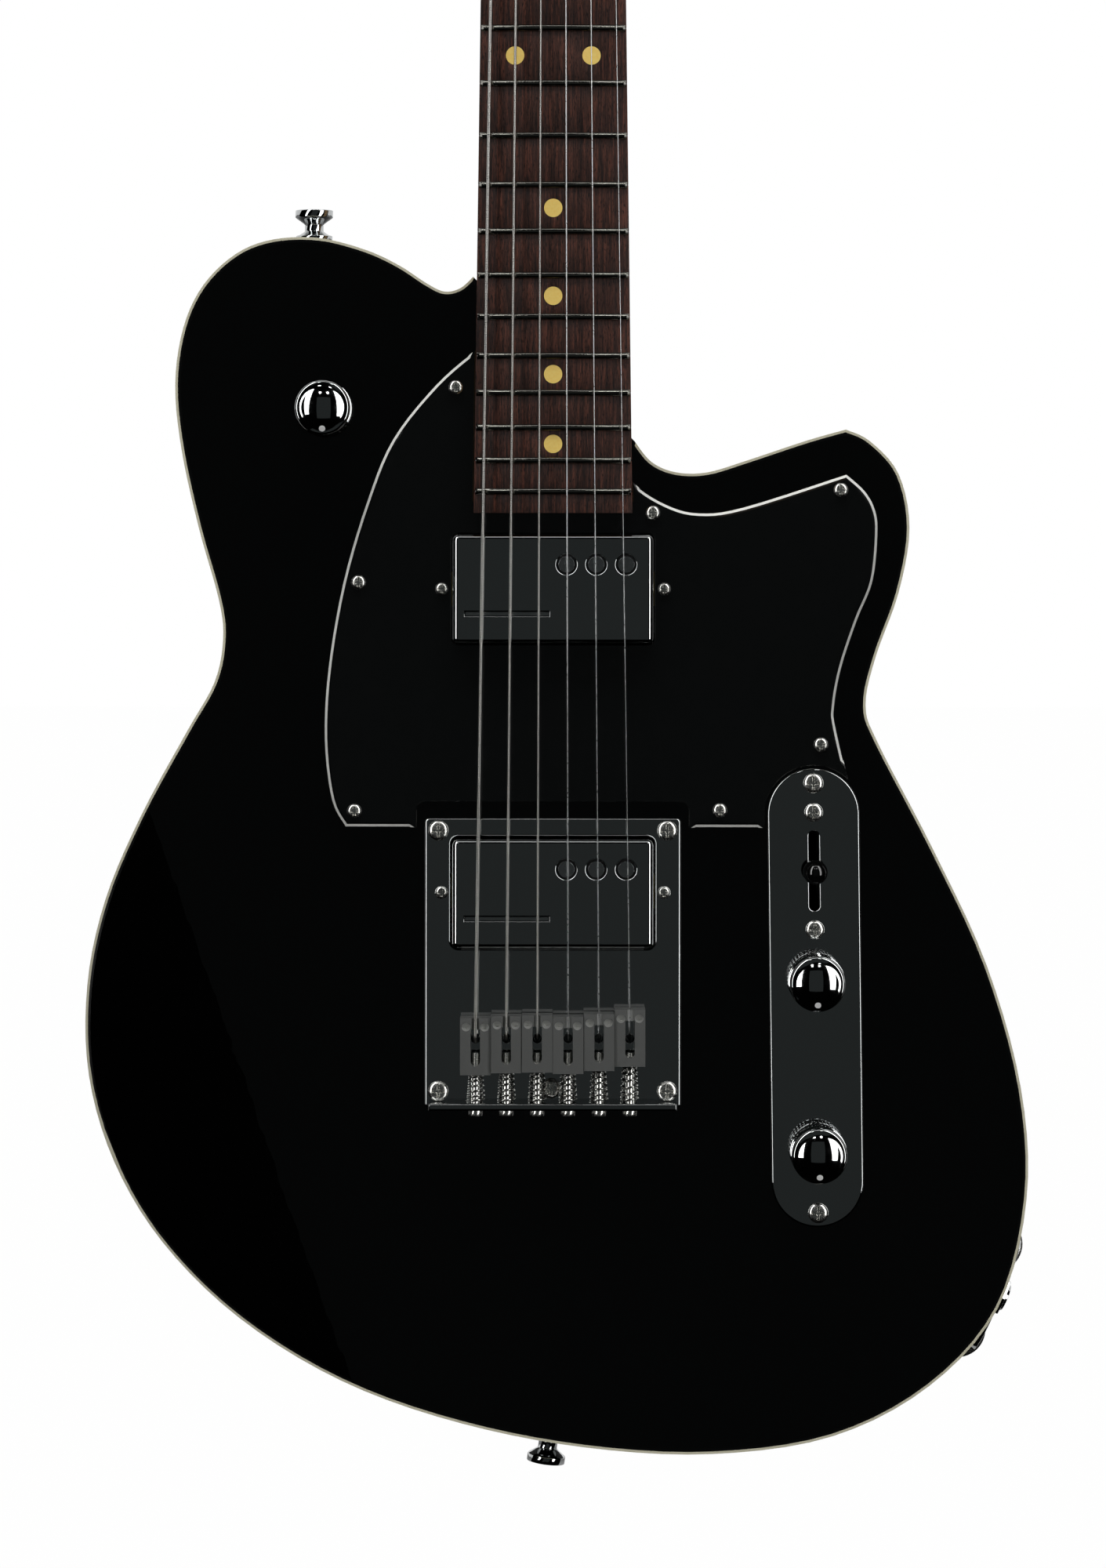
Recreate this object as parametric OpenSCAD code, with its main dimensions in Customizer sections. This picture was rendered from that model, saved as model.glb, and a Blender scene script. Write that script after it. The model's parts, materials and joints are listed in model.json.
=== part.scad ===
// Electric guitar: bound solid body, bolt-on neck and two covered pickups.
// All sizes are millimetres. The parts are drawn with X across the body, Y along the strings
// (0 is the bridge end of the scale) and Z out of the top (0 is the top of the body).
// hang() then stands the guitar upright, face to -Y, with the hanger point at the origin.

/* [Scale and neck] */
// Scale length, from the nut to the bridge end of the scale
scale_length = 647.7; // [635:0.1:660]
// Number of frets
fret_count = 22; // [21:1:22]
// Width of the neck at the nut
nut_width = 43; // [42:0.5:46]
// Width of the neck at the end of the fingerboard
board_end_width = 55.3; // [54:0.1:57]
// Thickness of the fingerboard at its middle
board_thickness = 6; // [5:0.5:7]
// Radius that the fingerboard's face is curved to
board_radius = 241; // [180:1:400]
// Height of the fingerboard's face above the body
board_height = 10; // [9.5:0.5:12]
// Length of fingerboard past the last fret
board_margin = 7.5; // [6:0.5:9]
// Length of fingerboard that overhangs the end of the neck
board_overhang = 4; // [2:0.5:5]
// Depth of the neck pocket, and of the neck's heel, below the top of the body
pocket_depth = 16; // [14:0.5:18]
// Depth of neck and fingerboard together at the nut
neck_depth_nut = 21; // [20:0.5:23]
// Depth of neck and fingerboard together near the body
neck_depth_heel = 23; // [22:0.5:25]
// Thickness of the nut along the strings
nut_thickness = 3.5; // [3:0.1:5]
// Diameter of the truss rod
truss_rod_d = 6; // [5:0.5:6.5]
// Diameter of the neck screws
neck_screw_d = 4.2; // [4:0.1:5]
// Diameter of the ferrules under the neck screws
neck_ferrule_d = 14; // [12:0.5:16]

/* [Frets and dots] */
// Width of a fret's crown
fret_width = 2.4; // [1.8:0.1:2.8]
// Height of a fret's crown
fret_height = 1.1; // [0.9:0.1:1.2]
// Thickness of a fret's tang
tang_width = 0.55; // [0.5:0.05:0.7]
// Depth of a fret's tang
tang_depth = 2; // [1.5:0.1:2.5]
// Distance from a fret's end to the side of the fingerboard
fret_inset = 0.5; // [0.3:0.1:1]
// Diameter of a position dot
dot_d = 6.4; // [5:0.1:7]
// Depth of a position dot
dot_depth = 2; // [1.5:0.1:3]
// Distance of each octave dot from the middle of the fingerboard
octave_dot_x = 13.3; // [11:0.1:15]

/* [Headstock] */
// Length of the headstock past the nut
head_length = 174; // [168:1:185]
// Width of the headstock
head_width = 84; // [80:1:90]
// Thickness of the headstock
head_thickness = 14.5; // [13.5:0.1:16]
// Drop of the headstock's face below the glue line of the neck
head_drop = 3.5; // [2.5:0.1:5]
// Distance from the nut to the first pair of tuners
first_tuner = 46; // [45:1:48]
// Spacing of the tuners along the headstock
tuner_pitch = 38; // [36:1:40]
// Distance of each tuner post from the middle line
tuner_x = 25.5; // [25:0.1:27]
// Distance from the nut to the string bar
string_bar_y = 20; // [18:0.5:22]

/* [Body] */
// Thickness of the body
body_thickness = 45; // [42:0.5:50]
// Width of the binding on the top edge
binding_width = 1.8; // [1.5:0.1:2.5]
// Depth of the binding down the side
binding_depth = 6; // [5:0.5:8]
// Radius of the forearm contour
arm_radius = 204; // [150:1:400]

/* [Pickguard] */
// Thickness of the pickguard
guard_thickness = 2.4; // [2:0.1:3]
// Gap between the pickguard and what it is cut around
guard_gap = 1; // [0.5:0.1:1.5]
// Gap between the pickguard and the top of the bridge plate
guard_bridge_gap = 5.8; // [4:0.1:8]

/* [Pickups] */
// Length of a pickup cover
pickup_length = 70; // [68:0.5:72]
// Width of a pickup cover
pickup_width = 38; // [36:0.5:39]
// Height of a pickup cover
pickup_height = 18; // [16:0.5:18]
// Thickness of the cover's walls
cover_wall = 1; // [0.8:0.1:1.5]
// Middle of the neck pickup from the bridge end of the scale
neck_pickup_y = 147.7; // [146:0.1:149]
// Middle of the bridge pickup from the bridge end of the scale
bridge_pickup_y = 41.6; // [40:0.1:43]
// Height of the neck pickup above the body
neck_pickup_top = 9; // [8:0.1:9.5]
// Height of the bridge pickup above the body
bridge_pickup_top = 11.5; // [10:0.1:12]
// Diameter of a pole piece
pole_d = 5.6; // [5:0.1:6]
// Spacing of the pole pieces
pole_pitch = 10.4; // [9.5:0.1:11]
// Diameter of a pickup's height screws
height_screw_d = 3; // [2.5:0.1:3]
// Distance of a height screw from the middle of the pickup
height_screw_x = 38.9; // [38.5:0.1:40]

/* [Bridge] */
// Width of the bridge plate
bridge_width = 89.7; // [89:0.1:94]
// Length of the bridge plate
bridge_length = 101.5; // [100:0.1:104]
// Distance from the end of the scale to the rear edge of the bridge plate
bridge_rear = 33.9; // [33:0.1:36]
// Thickness of the bridge plate
bridge_thickness = 2; // [1.5:0.1:2]
// Height of the bridge plate's rear lip above the body
lip_height = 11; // [10.5:0.1:12]
// Thickness of the rear lip
lip_thickness = 2.5; // [2:0.1:3]
// Spacing of the strings at the bridge
bridge_pitch = 10.76; // [10.7:0.01:11]
// Width of a saddle
saddle_width = 10.6; // [10.2:0.05:10.65]
// Length of a saddle
saddle_length = 19.8; // [18:0.1:20.5]
// Height of a saddle
saddle_height = 10.5; // [10:0.1:11]
// Height of the middle of the string arch above the body, at the saddles
saddle_top = 14.9; // [14.5:0.1:16]
// Width of the slot that the string drops through
saddle_slot = 3.3; // [2.5:0.1:3.5]
// Diameter of the saddles' length and height screws
saddle_screw_d = 3; // [2.5:0.1:3]
// Height of the saddles' length screws above the body
saddle_screw_z = 7.4; // [7.2:0.1:7.8]

/* [Strings] */
// Spacing of the strings at the nut
nut_pitch = 7; // [6.8:0.05:7.2]
// Diameters of the six strings, low to high
string_d = [1.17, 0.91, 0.66, 0.43, 0.33, 0.25];
// Height of the strings above the frets at the nut
nut_action = 0.5; // [0.3:0.05:0.8]
// Diameter of the ball at the end of each string
ball_d = 3.9; // [3.5:0.1:4]
// Diameter of a string ferrule
string_ferrule_d = 8; // [7:0.1:9.5]
// Length of a string ferrule
string_ferrule_length = 10; // [8:0.5:14]

/* [Controls] */
// Length of the control plate
control_length = 160.6; // [159:0.1:163]
// Width of the control plate
control_width = 32.2; // [31:0.1:34]
// Thickness of the control plate
control_thickness = 1.6; // [1.2:0.1:2]
// Turn of the control plate on the body, in degrees
control_tilt = 0.7; // [0:0.1:1.5]
// Diameter of a knob
knob_d = 19.6; // [19:0.1:21]
// Height of a knob
knob_height = 18.5; // [17:0.5:20]
// Diameter of a potentiometer's shaft
shaft_d = 6.35; // [6:0.05:6.5]
// Diameter of a potentiometer's threaded bushing
bushing_d = 9.5; // [9:0.1:10]
// Diameter of a potentiometer's case
pot_d = 24; // [22:0.5:24]
// Height of a potentiometer's case
pot_height = 10; // [8:0.5:11]
// Length of the selector switch's slot
slot_length = 27.9; // [27:0.1:29]
// Width of the selector switch's slot
slot_width = 3.5; // [3:0.1:4]
// Depth of the selector's pivot below the top of the body
pivot_depth = 20; // [18:0.5:20]
// Thickness of wood between the contour control and the top
contour_web = 6; // [5:0.5:8]

/* [Hardware] */
// Head diameter of the small screws
small_head_d = 4.9; // [4.5:0.1:5.5]
// Shank diameter of the small screws
small_shank_d = 2.6; // [2:0.1:3]
// Head diameter of the bridge and plate screws
plate_head_d = 6.8; // [6:0.1:7.5]
// Shank diameter of the bridge and plate screws
plate_shank_d = 3.4; // [3:0.1:4]
// Head diameter of a strap button
strap_head_d = 13.4; // [12:0.1:16]
// Height of a strap button
strap_height = 11; // [10:0.5:13]
// Diameter of the jack's plug hole
jack_bore_d = 6.4; // [6.35:0.05:6.5]
// Length of the jack's plate
jack_plate_length = 43; // [40:0.5:46]
// Width of the jack's plate
jack_plate_width = 25; // [23:0.5:27]
// Diameter of a tuner post
post_d = 6; // [5.5:0.1:6.2]
// Diameter of a tuner's bushing
tuner_bushing_d = 9.6; // [9:0.1:10]
// Height of a tuner post above the headstock
post_height = 14; // [13:0.5:17]
// Width of a tuner button
button_width = 19; // [16:0.5:22]
// Length of a tuner button
button_length = 15; // [13:0.5:18]

/* [Fits] */
// Radial clearance of a turning fit
running_fit = 0.05; // [0.02:0.01:0.1]
// Clearance between moving neighbours
moving_gap = 0.3; // [0.2:0.05:0.5]
// Clearance of a hole around a screw, on its diameter
screw_clearance = 0.4; // [0.2:0.1:0.6]
// Radial clearance between pieces that are screwed or pressed together in one node
seat_clearance = 0.02; // [0.01:0.01:0.05]
// Clearance around the neck in its pocket, on each side
pocket_clearance = 0.1; // [0.05:0.05:0.3]

/* [Hidden] */

$fn = 64;
round_fn = 720;      // wide arcs, such as the fingerboard's face
corner_fn = 24;      // rounded corners of flat outlines
curve_steps = 5;     // straight pieces between two points of a drawn curve
over = 1;            // how far a cut runs past the face that it opens
cut_span = 700;      // more than the body measures in any direction

// ---- Colours ----
black_lacquer = "#060606";
cream = "#d9d3b4";
maple = "#d8b98a";
rosewood = "#3a211a";
nickel = "#b9bbba";
black_nickel = "#2a2c2c";
satin_metal = "#4a4c4c";
brass = "#b08d3c";
bone = "#d6cfb6";
dark_plastic = "#161616";

// ---- Outlines ----
// The body's outline runs from the left of the neck around to the tip of the right horn,
// and then along the right cutaway back to the neck.
body_round = [[-28, 257], [-32.5, 253], [-38, 251.8], [-44, 254.5], [-54, 261], [-66, 266.5],
    [-82, 270.5], [-98, 270], [-111, 265], [-122.5, 254], [-129.5, 239], [-132.3, 219],
    [-130, 196], [-124, 169], [-117, 144], [-115.5, 130], [-118.5, 115], [-128, 98], [-144.3, 68.2],
    [-157.2, 38.3], [-163.9, 8], [-163.7, -24.1], [-154.8, -54.9], [-137.5, -83], [-110.2, -108.8],
    [-74, -130], [-32, -144.5], [12, -153], [56, -155.2], [98, -149], [132, -131.3],
    [156, -104], [166, -66], [164, -27], [152, 16], [133, 57], [114, 93.5], [109.5, 107],
    [113, 124], [121, 146.5], [124.8, 169], [121, 188], [111, 199.5], [102.5, 203.6]];
body_cutaway = [[102.5, 203.6], [89, 199.8], [68, 192.8], [54, 188.6], [43, 188.6],
    [34.5, 192.2], [28.5, 199.5]];
guard_left = [[-20, 236], [-27.5, 231], [-41.2, 219], [-56.2, 200], [-65.3, 178], [-73.5, 150],
    [-78.7, 120], [-80, 95], [-77.5, 74], [-72.6, 64.4]];
guard_corner = [92, 64.2];                        // under the control plate
guard_right = [[105.5, 72], [99.2, 98.6], [98.6, 106.8], [101.1, 120.4], [106.6, 137], [112, 150.5],
    [113.7, 167], [112.9, 175.2], [109.3, 182], [102.7, 188]];
guard_top = [[102.7, 188], [66.9, 176.5], [51, 174.4], [39.5, 177.4], [28.3, 184.7], [20, 196]];
// Right half of the headstock, as shares of its half width and of its length from the nut.
head_side = [[0.5, 0.06], [0.55, 0.13], [0.76, 0.2], [0.93, 0.3], [1, 0.46], [0.97, 0.66],
    [0.9, 0.86], [0.79, 0.955], [0.48, 0.99], [0, 1]];

// Point at share t of the curve from b to c, with a and d as the points around them.
function curve_point(a, b, c, d, t) = 0.5 * (2 * b + (c - a) * t
    + (2 * a - 5 * b + 4 * c - d) * t * t + (3 * b - a - 3 * c + d) * t * t * t);
// A smooth curve through the given points.
function curve(points) = let(last = len(points) - 1) [
    for (i = [0 : last - 1], k = [0 : curve_steps - 1])
        curve_point(points[max(i - 1, 0)], points[i], points[i + 1], points[min(i + 2, last)],
            k / curve_steps),
    points[last]];

// ---- Neck and strings ----
function fret_y(n) = scale_length * pow(2, -n / 12);
board_end = fret_y(fret_count) - board_margin;
heel_y = board_end + board_overhang;
heel_block = 55;                                  // length of the heel's square block
heel_cut = 120;                                   // a cut for the neck runs this far past the heel
shaft_start = heel_y + heel_block + 30;           // where the neck's round back begins
neck_top = board_height - board_thickness;        // glue line of neck and fingerboard
head_face = neck_top - head_drop;
head_back = head_face - head_thickness;
string_nut = board_height + fret_height + nut_action;
function neck_width(y) = nut_width
    + (board_end_width - nut_width) * (scale_length - y) / (scale_length - board_end);
single_dots = [3, 5, 7, 9, 15, 17, 19, 21];
hanger = [0, scale_length + 12, (head_face + head_back) / 2];
strings = [0 : 5];
function nut_x(i) = (i - 2.5) * nut_pitch;
function bridge_x(i) = (i - 2.5) * bridge_pitch;
function arch(x) = x * x / (2 * board_radius);    // drop of the fingerboard's curve at x

// ---- Bridge ----
bridge_front = bridge_length - bridge_rear;
saddle_front = [-1.4, -0.6, -0.3, -0.8, 0.2, 1.6];
function saddle_z(i) = saddle_top - arch(bridge_x(i));
saddle_wall = 3.9;                                // solid front of a saddle, under the string
saddle_rear_wall = 3;
saddle_travel = 2;
groove_depth = 0.8;
height_screw_spread = 6.4;                        // spacing of a saddle's two height screws
string_hole_y = -9.5;
string_hole_d = 3;
bridge_screws = [[-40, bridge_front - 4.3], [40, bridge_front - 4.3], [-40, 6.1 - bridge_rear],
    [40, 6.1 - bridge_rear], [-0.6, 7.1 - bridge_rear]];

// ---- Pickups ----
pickup_corner = 2;
rim = 0.6;                                        // gap around a pickup cover
rout_margin = 2.5;
rout_depth = pickup_height + 4;
ear_width = 12;
ear_length = 2 * height_screw_x + 8;
base_thickness = 2;
pickup_travel = 1.5;
pole_x = 15.1;
pole_y = 8.6;
blade_x = -16;
blade_length = 29;
blade_thickness = 1.2;
blade_slot = 1.6;

// ---- Controls ----
control_center = [92, 4.75];
control_depth = 38;
control_screw_y = control_length / 2 - 5.15;
switch_y = 44.4;
switch_screw_y = 20.5;                            // from the middle of the switch
volume_y = 6.2;
tone_y = -53.5;
contour_center = [-80.1, 210.7];
contour_rout_d = pot_d + 8;
cover_d = contour_rout_d + 12;
cover_thickness = 1.6;
cover_recess = 3;
knob_lift = 0.8;                                  // gap under a knob
knob_dome = 3;
knob_dot_d = 2.2;
set_screw_d = 3;
set_screw_z = 7;
nut_height = 2.4;
pot_nut_d = 14;                                   // across the corners of a hexagon nut
lever_thickness = 1.8;
lever_width = 4.4;
lever_swing = 22;
lever_socket = 5;                                 // how far the lever goes into its tip
tip_d = 8.5;
tip_bottom = 8;
tip_height = 9;

// ---- Hardware ----
bridge_notch = bridge_width + 5.6;                // width of the pickguard's cut around the bridge
notch_corner = 3;
guard_screws = [[-34, 218.2], [-68, 150], [-69.4, 70.1], [58.4, 70.4], [93.7, 93.4],
    [100.6, 182.4], [32.4 + 2.5, 174.4]];
screw_depth = 12;
neck_screw_spots = [[-16, 8], [14, 8], [-18, 54], [4, 32]];
strap_spots = [[-84.7, 270.6, 0], [-1, -151, 172.5]];
jack_spot = [156.6, -101.9];
jack_turn = -23.4;                                // direction that the jack faces
jack_plate_thickness = 2;
jack_flat = 0.8;                                  // depth of the flat under the jack's plate
face_thread = 14;                                 // length of the jack's body under its plate
gear_d = 10.6;
worm_d = 4.4;
worm_y = -8;
worm_z = -4.8;
housing_height = 9;
button_shaft_d = 3.6;
button_x = 19.5;

module hang() {
    rotate([90, 0, 0]) translate(-hanger) children();
}

// ---- Shared shapes ----
module body_outline() {
    polygon(concat(curve(body_round), curve(body_cutaway)));
}

module rounded(size, r) {
    offset(r = r, $fn = corner_fn) square(size - [2 * r, 2 * r], center = true);
}

// A low domed screw head, flat side down.
module dome(d, h) {
    r = (d * d / 4 + h * h) / (2 * h);
    intersection() {
        translate([0, 0, h - r]) sphere(r = r);
        cylinder(d = d, h = h);
    }
}

// A cross-head screw: its head sits on Z 0 and its shank goes down.
module cross_screw(head_d, shank_d, length) {
    head_h = head_d * 0.3;
    difference() {
        union() {
            dome(head_d, head_h);
            translate([0, 0, -length]) cylinder(d = shank_d, h = length + head_h / 3);
        }
        for (turn = [0, 90]) rotate(turn)
            translate([0, 0, head_h]) cube([head_d * 0.55, head_d * 0.16, head_h * 1.1], center = true);
    }
}

// A coil spring of square wire that stands on Z 0. Its flat section is the slice of one turn
// that the wire fills, and the twist carries it up.
module spring(r, wire, length, turns) {
    slice = 360 * wire * turns / length;
    arc = [for (k = [0 : 3]) [cos(slice * k / 3), sin(slice * k / 3)]];
    linear_extrude(height = length, twist = -360 * turns, slices = turns * 8, $fn = 8)
        polygon(concat((r + wire / 2) * arc, [for (k = [3 : -1 : 0]) (r - wire / 2) * arc[k]]));
}

// Half-plane and skin of the forearm contour. The contour starts at a line across the top and
// rolls over as a cylinder that touches the top along that line.
module at_arm() {
    translate([-115.3, 57.1, 0]) rotate(21.6) children();
}

module arm_roll(depth) {
    translate([0, 0, -arm_radius]) rotate([90, 0, 0])
        cylinder(r = arm_radius - depth, h = cut_span, center = true, $fn = round_fn);
}

// Everything above a surface that lies the given depth under the top, contour included.
module above_skin(depth) {
    at_arm() difference() {
        translate([-cut_span / 2, -cut_span / 2, -body_thickness - over])
            cube([cut_span / 2, cut_span, body_thickness + 2 * over]);
        arm_roll(depth);
    }
    at_arm() translate([0, -cut_span / 2, -depth]) cube([cut_span, cut_span, depth + over]);
}

module neck_outline(start, end, side) {
    polygon([[-neck_width(start) / 2 - side, start], [neck_width(start) / 2 + side, start],
        [neck_width(end) / 2 + side, end], [-neck_width(end) / 2 - side, end]]);
}

// ---- Places ----
module at_control() {
    translate(control_center) rotate(control_tilt) children();
}

module at_contour() {
    translate(contour_center) children();
}

module at_jack() {
    translate([jack_spot.x, jack_spot.y, -body_thickness / 2]) rotate([0, 0, jack_turn])
        rotate([0, 90, 0]) children();
}

module at_strap(spot) {
    translate([spot.x, spot.y, -body_thickness / 2]) rotate(spot.z) rotate([-90, 0, 0]) children();
}

module at_neck_screws() {
    for (spot = neck_screw_spots) translate([spot.x, heel_y + spot.y, -body_thickness]) children();
}

// Tuners 1 to 3 are on the left from the nut up, and 4 to 6 on the right from the top down.
module at_tuner(i) {
    left = i <= 3;
    row = left ? i - 1 : 6 - i;
    mirror([left ? 1 : 0, 0, 0])
        translate([tuner_x, scale_length + first_tuner + row * tuner_pitch, 0]) children();
}

module at_tuners() {
    for (i = [1 : 6]) at_tuner(i) children();
}

module above_headstock() {
    translate([0, 0, head_face]) children();
}

module under_headstock() {
    translate([0, 0, head_back]) children();
}

// ---- Body ----
module control_outline(grow) {
    hull() for (end = [-1, 1])
        translate([0, end * (control_length - control_width) / 2])
            circle(d = control_width + 2 * grow, $fn = round_fn);
}

module control_cavity() {
    half = control_length / 2 - 11.3;
    at_control() translate([0, 0, -control_depth]) linear_extrude(control_depth + over)
        rounded([pot_d + 3, 2 * half], 6);
}

module pickup_rout(y) {
    translate([0, y, -rout_depth]) linear_extrude(rout_depth + over) {
        rounded([pickup_length + 2 * rout_margin, pickup_width + 2 * rout_margin], 4);
        rounded([ear_length + 2, ear_width + 2 * rout_margin], 3);
    }
}

module contour_rout() {
    at_contour() {
        translate([0, 0, -body_thickness - over])
            cylinder(d = bushing_d + 2 * seat_clearance, h = body_thickness + 2 * over);
        translate([0, 0, -body_thickness - over])
            cylinder(d = contour_rout_d, h = body_thickness + over - contour_web);
        translate([0, 0, -body_thickness - over]) cylinder(d = cover_d, h = cover_recess + over);
    }
}

module channel(from, to, d) {
    run = to - from;
    flat = norm([run.x, run.y]);
    translate(from) rotate([0, atan2(flat, run.z), atan2(run.y, run.x)]) cylinder(d = d, h = norm(run));
}

channel_z = -15;
channels = [
    [[30, neck_pickup_y - 6, channel_z], [90, 62, channel_z]],
    [[30, bridge_pickup_y - 2, channel_z], [88, 32, channel_z]],
    [[-70, 199.5, channel_z], [-28, neck_pickup_y + 12, channel_z]],
    [[120, -86, -body_thickness / 2], [95, -58, -body_thickness / 2]]];

module jack_hole() {
    at_jack() {
        translate([0, 0, -42]) cylinder(d = 22, h = 42 + over);
        translate([0, 0, -jack_flat]) linear_extrude(10)
            rounded([jack_plate_width + 1, jack_plate_length + 6], 4);
    }
}

// Flat seats for the strap buttons on the curved side.
module strap_seats() {
    for (spot = strap_spots) at_strap(spot) cylinder(d = strap_head_d + 1, h = strap_height);
}

module string_drills() {
    for (i = strings) translate([bridge_x(i), string_hole_y, 0]) {
        translate([0, 0, -body_thickness - over]) cylinder(d = string_hole_d, h = body_thickness + 2 * over);
        translate([0, 0, -body_thickness - over])
            cylinder(d = string_ferrule_d, h = string_ferrule_length + over);
    }
}

module screw_drills() {
    for (spot = guard_screws) translate([spot.x, spot.y, guard_thickness - screw_depth])
        cylinder(d = small_shank_d, h = screw_depth + over);
    for (spot = bridge_screws) translate([spot.x, spot.y, bridge_thickness - 2 * screw_depth])
        cylinder(d = plate_shank_d, h = 2 * screw_depth + over);
    at_control() for (end = [-1, 1])
        translate([0, end * control_screw_y, control_thickness - 1.5 * screw_depth])
            cylinder(d = plate_shank_d, h = 1.5 * screw_depth + over);
    at_contour() cover_screws() translate([0, 0, -screw_depth])
        cylinder(d = small_shank_d, h = screw_depth + over);
    at_jack() jack_screws() translate([0, 0, -1.5 * screw_depth])
        cylinder(d = plate_shank_d, h = 1.5 * screw_depth + over);
    for (spot = strap_spots) at_strap(spot) translate([0, 0, -2 * screw_depth])
        cylinder(d = plate_shank_d, h = 2 * screw_depth + 10);
}

module neck_drills() {
    at_neck_screws() {
        translate([0, 0, -over])
            cylinder(d = neck_screw_d + screw_clearance, h = body_thickness - pocket_depth + 2 * over);
        translate([0, 0, -over]) cylinder(d = neck_ferrule_d, h = neck_ferrule_height + over);
    }
}

neck_ferrule_height = 4;

module body() {
    color(black_lacquer) difference() {
        translate([0, 0, -body_thickness]) linear_extrude(body_thickness) body_outline();
        above_skin(0);
        binding();
        translate([0, 0, -pocket_depth]) linear_extrude(pocket_depth + over)
            neck_outline(heel_y - pocket_clearance, heel_y + heel_cut, pocket_clearance);
        pickup_rout(neck_pickup_y);
        pickup_rout(bridge_pickup_y);
        control_cavity();
        contour_rout();
        jack_hole();
        strap_seats();
        for (c = channels) channel(c[0], c[1], 8);
        string_drills();
        screw_drills();
        neck_drills();
    }
}

// The binding follows the top edge and dips with the forearm contour. It stops at the neck.
module binding() {
    color(cream) difference() {
        intersection() {
            translate([0, 0, -body_thickness]) linear_extrude(body_thickness) difference() {
                body_outline();
                offset(delta = -binding_width) body_outline();
            }
            above_skin(binding_depth);
        }
        above_skin(0);
        translate([0, 0, -binding_depth - over]) linear_extrude(binding_depth + 2 * over)
            neck_outline(heel_y, heel_y + heel_cut, 0.6);
    }
}

// ---- Pickguard ----
module guard_outline() {
    difference() {
        polygon(concat(curve(guard_left), [guard_corner], curve(guard_right), curve(guard_top)));
        hull() {
            translate([-bridge_notch / 2, 0]) square([bridge_notch, 1]);
            for (side = [-1, 1])
                translate([side * (bridge_notch / 2 - notch_corner),
                    bridge_front + guard_bridge_gap - notch_corner])
                    circle(r = notch_corner, $fn = corner_fn);
        }
        at_control() control_outline(guard_gap);
        neck_outline(heel_y - 0.3, heel_y + heel_cut, 0.3);
        translate([0, neck_pickup_y])
            rounded([pickup_length + 2 * rim, pickup_width + 2 * rim], pickup_corner + rim);
    }
}

module pickguard() {
    color("#0d0f0f") difference() {
        linear_extrude(guard_thickness) guard_outline();
        for (spot = guard_screws) translate([spot.x, spot.y, -over])
            cylinder(d = small_shank_d + screw_clearance, h = guard_thickness + 2 * over);
        height_screws(neck_pickup_y) translate([0, 0, -over])
            cylinder(d = height_screw_d + screw_clearance, h = guard_thickness + 2 * over);
    }
}

// ---- Neck ----
// Cross-section of the neck's back: flat glue line on top, rounded below.
module neck_slice(y, w, depth) {
    translate([0, y, neck_top]) rotate([90, 0, 0]) linear_extrude(0.1)
        polygon([for (k = [0 : 20]) let(a = 9 * k) [w / 2 * cos(a), -depth * pow(sin(a), 0.75)]]);
}

module box_slice(y, w, bottom, top) {
    translate([-w / 2, y, bottom]) cube([w, 0.1, top - bottom]);
}

module neck_shaft() {
    heel_end = heel_y + heel_block;
    hull() {
        box_slice(heel_end - 0.2, neck_width(heel_end), -pocket_depth, neck_top);
        neck_slice(shaft_start, neck_width(shaft_start), neck_depth_heel - board_thickness);
    }
    hull() {
        neck_slice(shaft_start, neck_width(shaft_start), neck_depth_heel - board_thickness);
        neck_slice(scale_length, nut_width, neck_depth_nut - board_thickness);
    }
    hull() {
        neck_slice(scale_length, nut_width, neck_depth_nut - board_thickness);
        neck_slice(scale_length + nut_thickness, nut_width, neck_depth_nut - board_thickness);
        box_slice(scale_length + string_bar_y - 4, nut_width, head_back, head_face);
    }
}

module head_outline() {
    side = [for (p = head_side) [p.x * head_width / 2, scale_length + p.y * head_length]];
    other = [for (i = [len(side) - 1 : -1 : 0]) [-side[i].x, side[i].y]];
    polygon(concat(curve(side), curve(other)));
}

module truss_channel() {
    translate([-truss_rod_d / 2 - 0.2, heel_y + 25, neck_top - truss_rod_d - 2])
        cube([truss_rod_d + 0.4, scale_length - heel_y - 25 - 6, truss_rod_d + 2 + over]);
    translate([0, scale_length - 8, neck_top - truss_rod_d / 2 - 1]) rotate([-90, 0, 0])
        cylinder(d = truss_rod_d + 4, h = 32);
}

module neck() {
    color(maple) difference() {
        union() {
            translate([0, 0, -pocket_depth]) linear_extrude(pocket_depth + neck_top)
                neck_outline(heel_y, heel_y + heel_block, 0);
            neck_shaft();
            translate([0, 0, head_back]) linear_extrude(head_thickness) head_outline();
        }
        truss_channel();
        at_tuners() translate([0, 0, head_back - over])
            cylinder(d = tuner_bushing_d, h = head_thickness + 2 * over);
        at_tuners() tuner_screw_spot() translate([0, 0, head_back - over])
            cylinder(d = small_shank_d, h = 8 + over);
        for (side = [-1, 1]) translate([side * bar_screw_x, scale_length + string_bar_y, head_face - 9])
            cylinder(d = small_shank_d, h = 9 + 3);
        at_neck_screws() cylinder(d = neck_screw_d, h = neck_screw_length);
    }
}

neck_head_height = 2.6;
neck_screw_length = body_thickness + neck_top - 6;
bar_spread = 1.25;                                // how much wider the strings are at the string bar
bar_screw_x = nut_pitch * bar_spread;             // between the strings

module on_board() {
    translate([0, 0, board_height - board_radius]) rotate([-90, 0, 0]) children();
}

module board_face(start, end) {
    on_board() translate([0, 0, start]) cylinder(r = board_radius, h = end - start, $fn = round_fn);
}

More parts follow.
